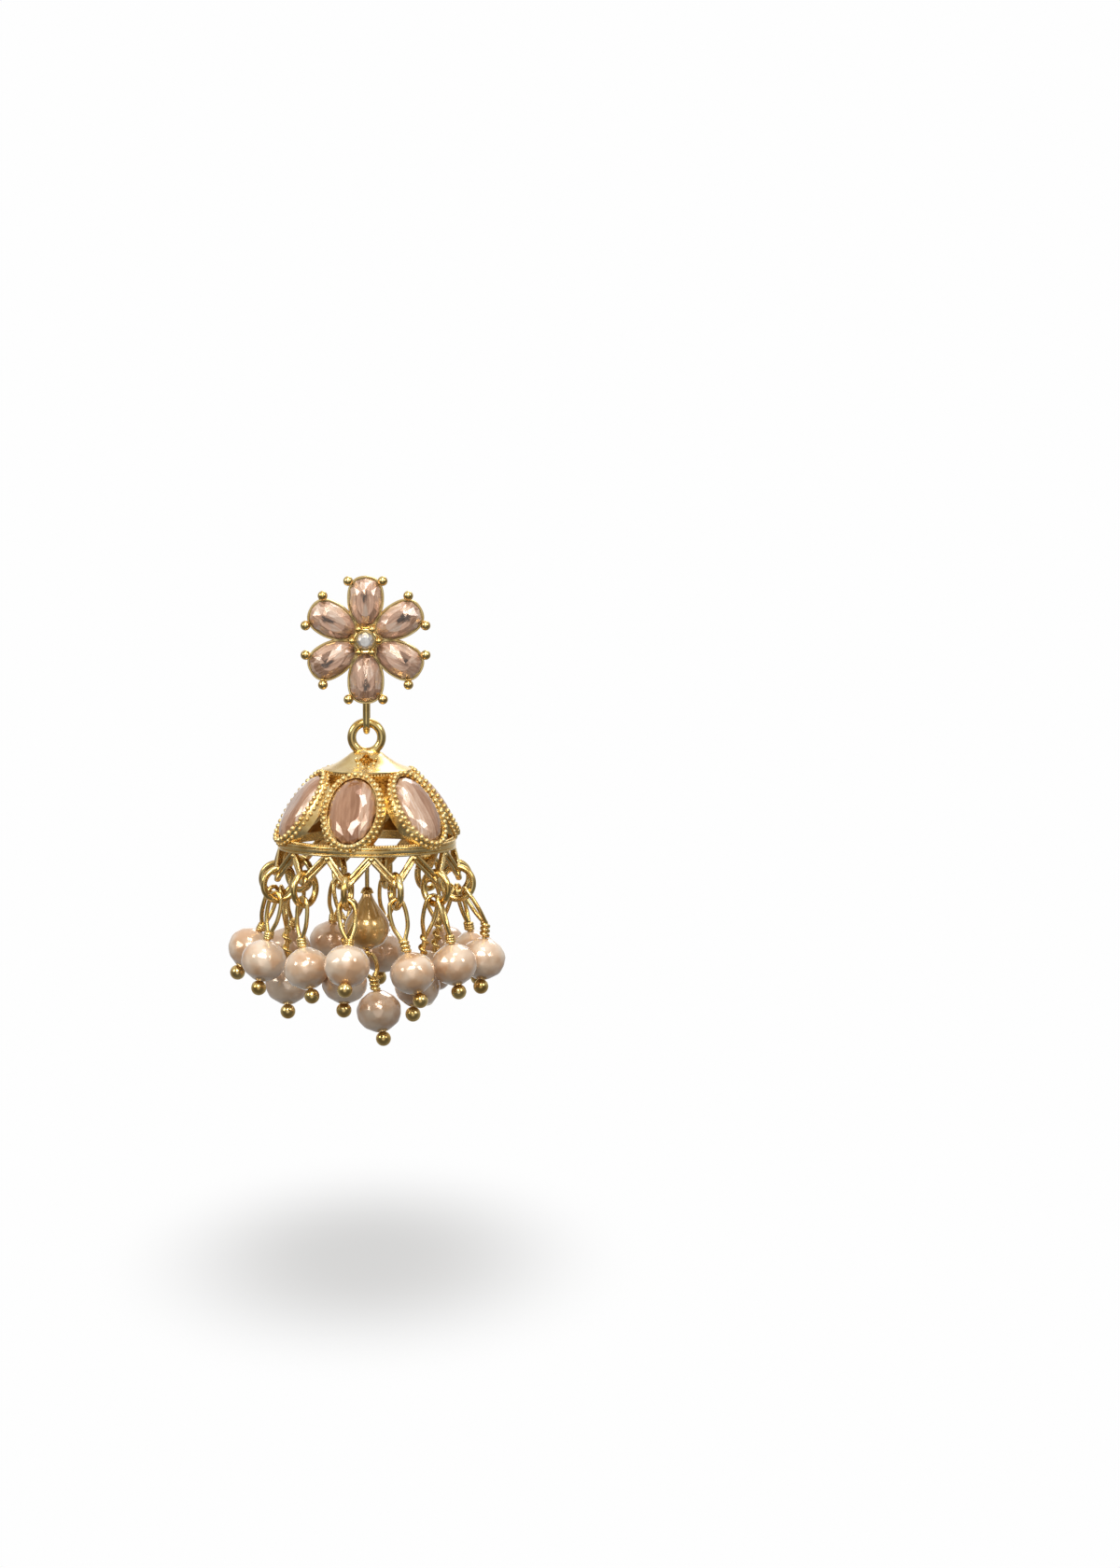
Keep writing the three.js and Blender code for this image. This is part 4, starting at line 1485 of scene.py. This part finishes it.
SHORT_DROPS = (
    Hang(0, 14, 13, 7, 7, 27, -3, 6.7),
    Hang(1, 14, 8, 9, -12, 6, 3, 7.2),
    Hang(2, 20, 18, 5, 32, -12, 2, 6.7),
    Hang(3, 40, 34, -2, 32, -38, 0, 7.4),
    Hang(4, 18, 17, -2, -34, -6, 4, 6.7),
    Hang(5, 16, 11, -3, 10, 4, -4, 6.7),
    Hang(6, 14, 6, 2, -7, 8, 8, 7.8),
    Hang(7, 18, 17, 2, 12, -4, 0, 6.6),
    Hang(8, 14, 10, -2, -30, 4, 3, 6.7),
    Hang(9, 20, 17, -2, -32, 12, 0, 6.6),
    Hang(10, 14, 11, -2, 32, 0, 0, 6.6),
    Hang(11, 12, 5, 1, -10, -2, 16, 6.8),
)
LONG_DROPS = (
    Hang(0, -21, -19, -9, 8, 14, 6, 8.7),
    Hang(2, -20, -13, -2, -8, 8, -6, 9.2),
    Hang(4, -20, -16, 9, 8, 8, -4, 8.9),
    Hang(7, -20, -17, -4, -8, 10, 4, 8.6),
    Hang(9, -18, -9, 6, 5, 8, -4, 9.7),
)
LOWEST_DROP = Hang(0, 0, 0, 18, 25, 0, -9, 5.8)


@dataclass
class Fringe:
    """Jump rings on the skirt's lugs, the bead drops on them and the drop in the middle."""

    ring_radius: float = 1.72
    ring_wire: float = 0.36
    ring_reach: float = 9.88
    ring_height: float = -26.2
    wire: float = 0.235
    eye_half_width: float = 0.86
    eye_height: float = 3.6
    eye_play: float = 0.24
    neck_turns: float = 3.0
    bead_radius: float = 2.54
    bead_half_height: float = 2.3
    ball_radius: float = 0.82
    ball_drop: float = 3.0
    tear_top: float = -27.2
    tear_wide: float = -31.1
    tear_foot: float = -33.6
    tear_radius: float = 2.4
    foot_eye: float = 0.6
    foot_wire: float = 0.2
    coil_radius: float = 0.35
    pin_radius: float = 0.27
    bead_turn: float = 37.0
    facet_rounding: float = 0.3
    ring_gap: float = 0.035
    hook_foot: float = -14.46
    stem_eye: float = 0.8
    stem_wire: float = 0.24

    def rings(self) -> None:
        """Twelve jump rings, each with a fine seam."""
        places, turns = [], []
        for k in range(12):
            degrees = FRONT_TURN + LUG_STEP * k
            places.append(radial(degrees) @ Vector((0, -self.ring_reach, self.ring_height)))
            frame = turn("Z", degrees) @ turn("Y", 90) @ turn("Z", 60 + 25 * (k % 3))
            turns.append(frame.to_euler())
        base = point_cloud("ring_places", places)
        facing = base.data.attributes.new("ring_turn", "FLOAT_VECTOR", "POINT")
        for target, euler in zip(facing.data, turns):
            target.vector = Vector(euler)
        values = {"Radius": self.ring_radius * MM, "Wire": self.ring_wire * MM, "Gap": self.ring_gap}
        piece = jump_ring_tree(WIRE_GOLD.material()).run(base, "jump_rings", values)
        dress(piece, WIRE_GOLD, Slot.GOLD, Body.BELL, *[f"jump_ring_{k + 1:02d}" for k in range(12)])

    def bead(self) -> Shape:
        """Round bead cut all over with staggered facets."""
        rows = (0.09, 0.27, 0.42, 0.58, 0.73, 0.91)
        sides = 10
        work = bmesh.new()
        for row, share in enumerate(rows):
            angle = math.pi * share
            for k in range(sides):
                around = 2 * math.pi * (k + 0.5 * (row % 2)) / sides
                radius = self.bead_radius * math.sin(angle)
                height = self.bead_half_height * math.cos(angle)
                work.verts.new((radius * math.cos(around), radius * math.sin(around), height))
        bmesh.ops.convex_hull(work, input=work.verts)
        bmesh.ops.dissolve_limit(work, angle_limit=math.radians(2), verts=work.verts, edges=work.edges)
        shape = Shape()
        shape.points = [v.co.copy() for v in work.verts]
        work.verts.index_update()
        shape.faces = [tuple(v.index for v in face.verts) for face in work.faces]
        work.free()
        return shape

    def eye_path(self, held: float, height: float) -> list[Vector]:
        """Centre line of a drop's wire: round the eye and down into its neck.

        Args:
            held: radius of the wire that the eye hangs on.
            height: from that wire down to the neck.

        Returns:
            The line's points.
        """
        top = held + self.wire + self.eye_play
        foot = -height
        half = self.eye_half_width
        side = [
            (0.16, foot - 0.1), (half * 0.42, foot * 0.88), (half * 0.85, foot * 0.62), (half, foot * 0.36),
            (half * 0.97, foot * 0.08), (half * 0.72, top - half * 0.38),
        ]
        corners = [*side, (0.0, top), *[(-x, z) for x, z in reversed(side)]]
        return smooth_line([Vector((x, 0, z)) for x, z in corners], 6)

    def drop(self, name: str, hang: Hang, place: Matrix, held: float, height: float) -> None:
        """One drop: a wire eye with a wrapped neck, a faceted bead and the pin's ball.

        Args:
            name: the frame node that the drop stands for.
            hang: its angles and its length.
            place: its frame where it hangs.
            held: radius of the wire that its eye hangs on.
            height: the eye's height.
        """
        eye_place = place @ turn("Z", hang.turn)
        wire = Shape().add(Shape.tube(self.eye_path(held, height), self.wire, 9), eye_place)
        below = hang.length - height
        low = place @ shift(0, 0, -height) @ turn("Y", -hang.lean) @ turn("X", -hang.nod)
        neck = below - self.bead_half_height
        coil = []
        steps = int(16 * self.neck_turns)
        for k in range(steps + 1):
            angle = 2 * math.pi * self.neck_turns * k / steps
            across, ahead = self.coil_radius * math.cos(angle), self.coil_radius * math.sin(angle)
            coil.append(Vector((across, ahead, 0.12 - (neck + 0.02) * k / steps)))
        wire.add(Shape.tube(coil, self.wire * 0.95, 8), low)
        pin = [Vector((0, 0, 0.25)), Vector((0, 0, -below * 0.5)), Vector((0, 0, -below - self.ball_drop))]
        wire.add(Shape.tube(pin, self.pin_radius, 10), low)
        wire.add(Shape.ball(self.ball_radius, Vector((0, 0, -below - self.ball_drop))), low)
        piece = wire.object(f"{name}_wire", sharp=60)
        dress(piece, WIRE_GOLD, Slot.GOLD, Body.BELL, name)
        bead = Shape().add(self.bead(), low @ shift(0, 0, -below) @ turn("Z", self.bead_turn * hang.length))
        glass = bead.object(f"{name}_bead", sharp=0)
        soften(glass, self.facet_rounding, 3, 4)
        dress(glass, PEARL, Slot.PEARL, Body.BELL, name)

    def place(self, hang: Hang) -> Matrix:
        """Frame of a drop where it hangs on its ring."""
        angle = math.radians(hang.hook)
        reach = self.ring_reach + self.ring_radius * math.sin(angle)
        height = self.ring_height - self.ring_radius * math.cos(angle)
        holder = radial(FRONT_TURN + LUG_STEP * hang.ring)
        return holder @ shift(0, -reach, height) @ turn("X", -hang.out) @ turn("Y", -hang.side)

    def centre(self) -> None:
        """The teardrop on its stem inside the bell, with an eye at each end."""
        eye, gauge = self.stem_eye, self.stem_wire
        eye_middle = self.hook_foot - eye + 2 * gauge + 0.05 - eye
        side = radial(90)
        wire = Shape().add(Shape.ring(eye, gauge), side @ shift(0, 0, eye_middle))
        stem = [Vector((0, 0, eye_middle - eye)), Vector((0, 0, -22)), Vector((0, 0, self.tear_top - 0.4))]
        wire.add(Shape.tube(stem, gauge, 12), side)
        cap = [(0.3, 0.35), (0.5, 0.2), (0.62, -0.05), (0.72, -0.3), (0.3, -0.34)]
        wire.add(Shape.turned(cap, 24), side @ shift(0, 0, self.tear_top))
        low = self.tear_foot - self.foot_eye + 0.1
        wire.add(Shape.ring(self.foot_eye, self.foot_wire), side @ shift(0, 0, low))
        dress(wire.object("centre_drop_wire", sharp=50), WIRE_GOLD, Slot.GOLD, Body.BELL, "centre_drop")
        top, wide, foot, radius = self.tear_top, self.tear_wide, self.tear_foot, self.tear_radius
        corners = [
            Vector((0.42, 0, top)), Vector((0.62, 0, top - 0.7)), Vector((radius * 0.42, 0, top - 1.4)),
            Vector((radius * 0.66, 0, top - 2.2)), Vector((radius * 0.9, 0, wide + 0.85)),
            Vector((radius, 0, wide)), Vector((radius * 0.93, 0, wide - 1.0)),
            Vector((radius * 0.68, 0, wide - 1.95)), Vector((0.5, 0, foot)),
        ]
        profile = [(p.x, p.z) for p in smooth_line(corners, 5)]
        glass = Shape().add(Shape.turned(profile, 72), BELL_AXIS).object("centre_drop_glass", sharp=50)
        dress(glass, HONEY, Slot.HONEY, Body.BELL, "centre_drop")

    def build(self) -> None:
        """Make and dress the rings and all drops."""
        self.rings()
        for hang in SHORT_DROPS:
            name = f"short_drop_{hang.ring + 1:02d}"
            self.drop(name, hang, self.place(hang), self.ring_wire, self.eye_height)
        for k, hang in enumerate(LONG_DROPS):
            self.drop(f"long_drop_{k + 1}", hang, self.place(hang), self.ring_wire, self.eye_height)
        self.centre()
        foot = self.tear_foot - 2 * self.foot_eye + 0.1
        place = BELL_AXIS @ shift(0, 0, foot) @ turn("Y", -LOWEST_DROP.side)
        self.drop("lowest_drop", LOWEST_DROP, place, self.foot_wire, 2.2)


def smooth_line(points: Sequence[Vector], steps: int) -> list[Vector]:
    """Catmull-Rom line through points.

    Args:
        points: the points that it passes through.
        steps: steps between each two points.

    Returns:
        The points of the smooth line.
    """
    line = []
    for k in range(len(points) - 1):
        before = points[max(0, k - 1)]
        start, end = points[k], points[k + 1]
        after = points[min(len(points) - 1, k + 2)]
        for step in range(steps):
            t = step / steps
            line.append(0.5 * (
                2 * start + (end - before) * t + (2 * before - 5 * start + 4 * end - after) * t * t
                + (3 * start - before - 3 * end + after) * t ** 3
            ))
    line.append(points[-1].copy())
    return line


@dataclass
class Studio:
    """Camera at the photograph's angle, a painted soft shadow far below and soft light."""

    elevation: float = 6.0
    distance: float = 700.0
    aim: tuple[float, float, float] = (20.75, 0.0, -15.55)
    frame_height: float = 168.0
    floor: float = -67.0

    def camera(self) -> None:
        """Camera that frames the earring as the photograph does."""
        data = bpy.data.cameras.new("camera")
        data.sensor_fit = "VERTICAL"
        data.sensor_height = 36.0
        data.lens = 36.0 * self.distance / self.frame_height
        data.clip_start = 0.01
        data.clip_end = 20.0
        camera = add_object("camera", data)
        tilt = math.radians(self.elevation)
        back = Vector((0, -math.cos(tilt), math.sin(tilt))) * self.distance
        camera.location = (Vector(self.aim) + back) * MM
        camera.rotation_euler = (math.radians(90) - tilt, 0, 0)
        bpy.context.scene.camera = camera

    def painted_shadow_card(self) -> None:
        """Clear card far below with a painted soft shadow: a dark grey ellipse that fades to clear."""
        points = [(x * 0.05, y * 0.12, self.floor * MM) for x, y in ((-1, -1), (1, -1), (1, 1), (-1, 1))]
        mesh = bpy.data.meshes.new("painted_shadow_card")
        mesh.from_pydata(points, [], [(0, 1, 2, 3)])
        card = add_object("painted_shadow_card", mesh)
        made = bpy.data.materials.new("clear_card_with_painted_shadow")
        made.use_nodes = True
        tree = made.node_tree
        tree.nodes.remove(tree.nodes["Principled BSDF"])
        place = node(tree, "ShaderNodeTexCoord").outputs["Object"]
        scaled = node(tree, VECTOR, {"operation": "MULTIPLY"}, s0=place, s1=(1 / 0.032, 1 / 0.075, 0))
        reach = node(tree, VECTOR, {"operation": "LENGTH"}, s0=scaled.outputs[0]).outputs["Value"]
        smooth = {"interpolation_type": "SMOOTHERSTEP"}
        fade = node(tree, "ShaderNodeMapRange", smooth, s0=reach, s3=0.36, s4=0.0)
        clear = node(tree, "ShaderNodeBsdfTransparent")
        # Painted soft shadow: dark grey in the middle, fading to clear towards the card's edges
        painted_shadow_grey = node(tree, "ShaderNodeBsdfDiffuse", Color=linear("#57534E"))
        share = fade.outputs[0]
        blend = node(tree, "ShaderNodeMixShader", Fac=share, s1=clear.outputs[0], s2=painted_shadow_grey.outputs[0])
        tree.links.new(blend.outputs[0], tree.nodes["Material Output"].inputs["Surface"])
        mesh.materials.append(made)

    def lamp(
        self, name: str, place: tuple[float, float, float], size: float, watts: float, colour: str
    ) -> None:
        """Square soft light aimed at the earring.

        Args:
            name: the light's name.
            place: its middle, in millimetres.
            size: its side, in millimetres.
            watts: its power.
            colour: its hex colour.
        """
        data = bpy.data.lights.new(name, "AREA")
        data.shape = "SQUARE"
        data.size = size * MM
        data.energy = watts
        data.color = linear(colour)[:3]
        lamp = add_object(name, data)
        lamp.location = Vector(place) * MM
        lamp.rotation_euler = (Vector((0, 0, -18)) - Vector(place)).to_track_quat("-Z", "Y").to_euler()

    def light(self) -> None:
        """Plain white surround for the eye, a shaped soft room in the reflections, and soft lamps."""
        world = bpy.data.worlds.new("studio")
        bpy.context.scene.world = world
        world.use_nodes = True
        tree = world.node_tree
        facing = node(tree, "ShaderNodeTexCoord").outputs["Generated"]
        split = node(tree, "ShaderNodeSeparateXYZ", s0=facing)
        height, depth = split.outputs["Z"], split.outputs["Y"]
        above = node(tree, "ShaderNodeMapRange", s0=height, s1=-0.05, s2=0.9, s3=0.0, s4=0.55)
        below = node(tree, "ShaderNodeMapRange", s0=depth, s1=-0.3, s2=0.9, s3=0.14, s4=0.44)
        smooth = {"interpolation_type": "SMOOTHSTEP"}
        behind = node(tree, "ShaderNodeMapRange", smooth, s0=depth, s1=0.9, s2=0.965, s4=0.62)
        front = node(tree, "ShaderNodeMapRange", smooth, s0=depth, s1=-0.88, s2=-0.97, s4=0.55)
        total = above.outputs[0]
        for part in (below, behind, front):
            total = node(tree, MATH, {"operation": "ADD"}, s0=total, s1=part.outputs[0]).outputs[0]
        tree.nodes.remove(tree.nodes["Background"])
        sky = node(tree, "ShaderNodeBackground", Strength=total, Color=linear("#FFFFFF"))
        white = node(tree, "ShaderNodeBackground", Color=linear("#FEFEFE"))
        seen = node(tree, "ShaderNodeLightPath").outputs["Is Camera Ray"]
        surround = node(tree, "ShaderNodeMixShader", Fac=seen, s1=sky.outputs[0], s2=white.outputs[0])
        tree.links.new(surround.outputs[0], tree.nodes["World Output"].inputs["Surface"])
        for name, place, size, watts, colour in (
            ("key_light", (-50, -480, 330), 230, 1.7, "#FFFDF8"),
            ("left_light", (-480, -260, 220), 200, 0.8, "#FFFBF4"),
            ("right_light", (400, -350, 280), 180, 0.8, "#FFFFFF"),
            ("overhead_light", (30, -215, 480), 150, 0.8, "#FFFFFF"),
            ("rear_light", (120, 420, 360), 240, 0.8, "#FFFFFF"),
        ):
            self.lamp(name, place, size, watts, colour)
        view = bpy.context.scene.view_settings
        view.view_transform = "Standard"
        view.look = "None"
        view.exposure = 0.0

    def build(self) -> None:
        """Set up camera, painted shadow card and light."""
        self.camera()
        self.painted_shadow_card()
        self.light()


def main() -> None:
    """Build the earring's looks round the frame."""
    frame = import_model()
    for part in (Studio(), FlowerStud(), DropLink(), Bell(), Fringe()):
        part.build()
        log.info("%s is built", type(part).__name__)
    bpy.context.view_layer.update()


if __name__ == "__main__":
    main()
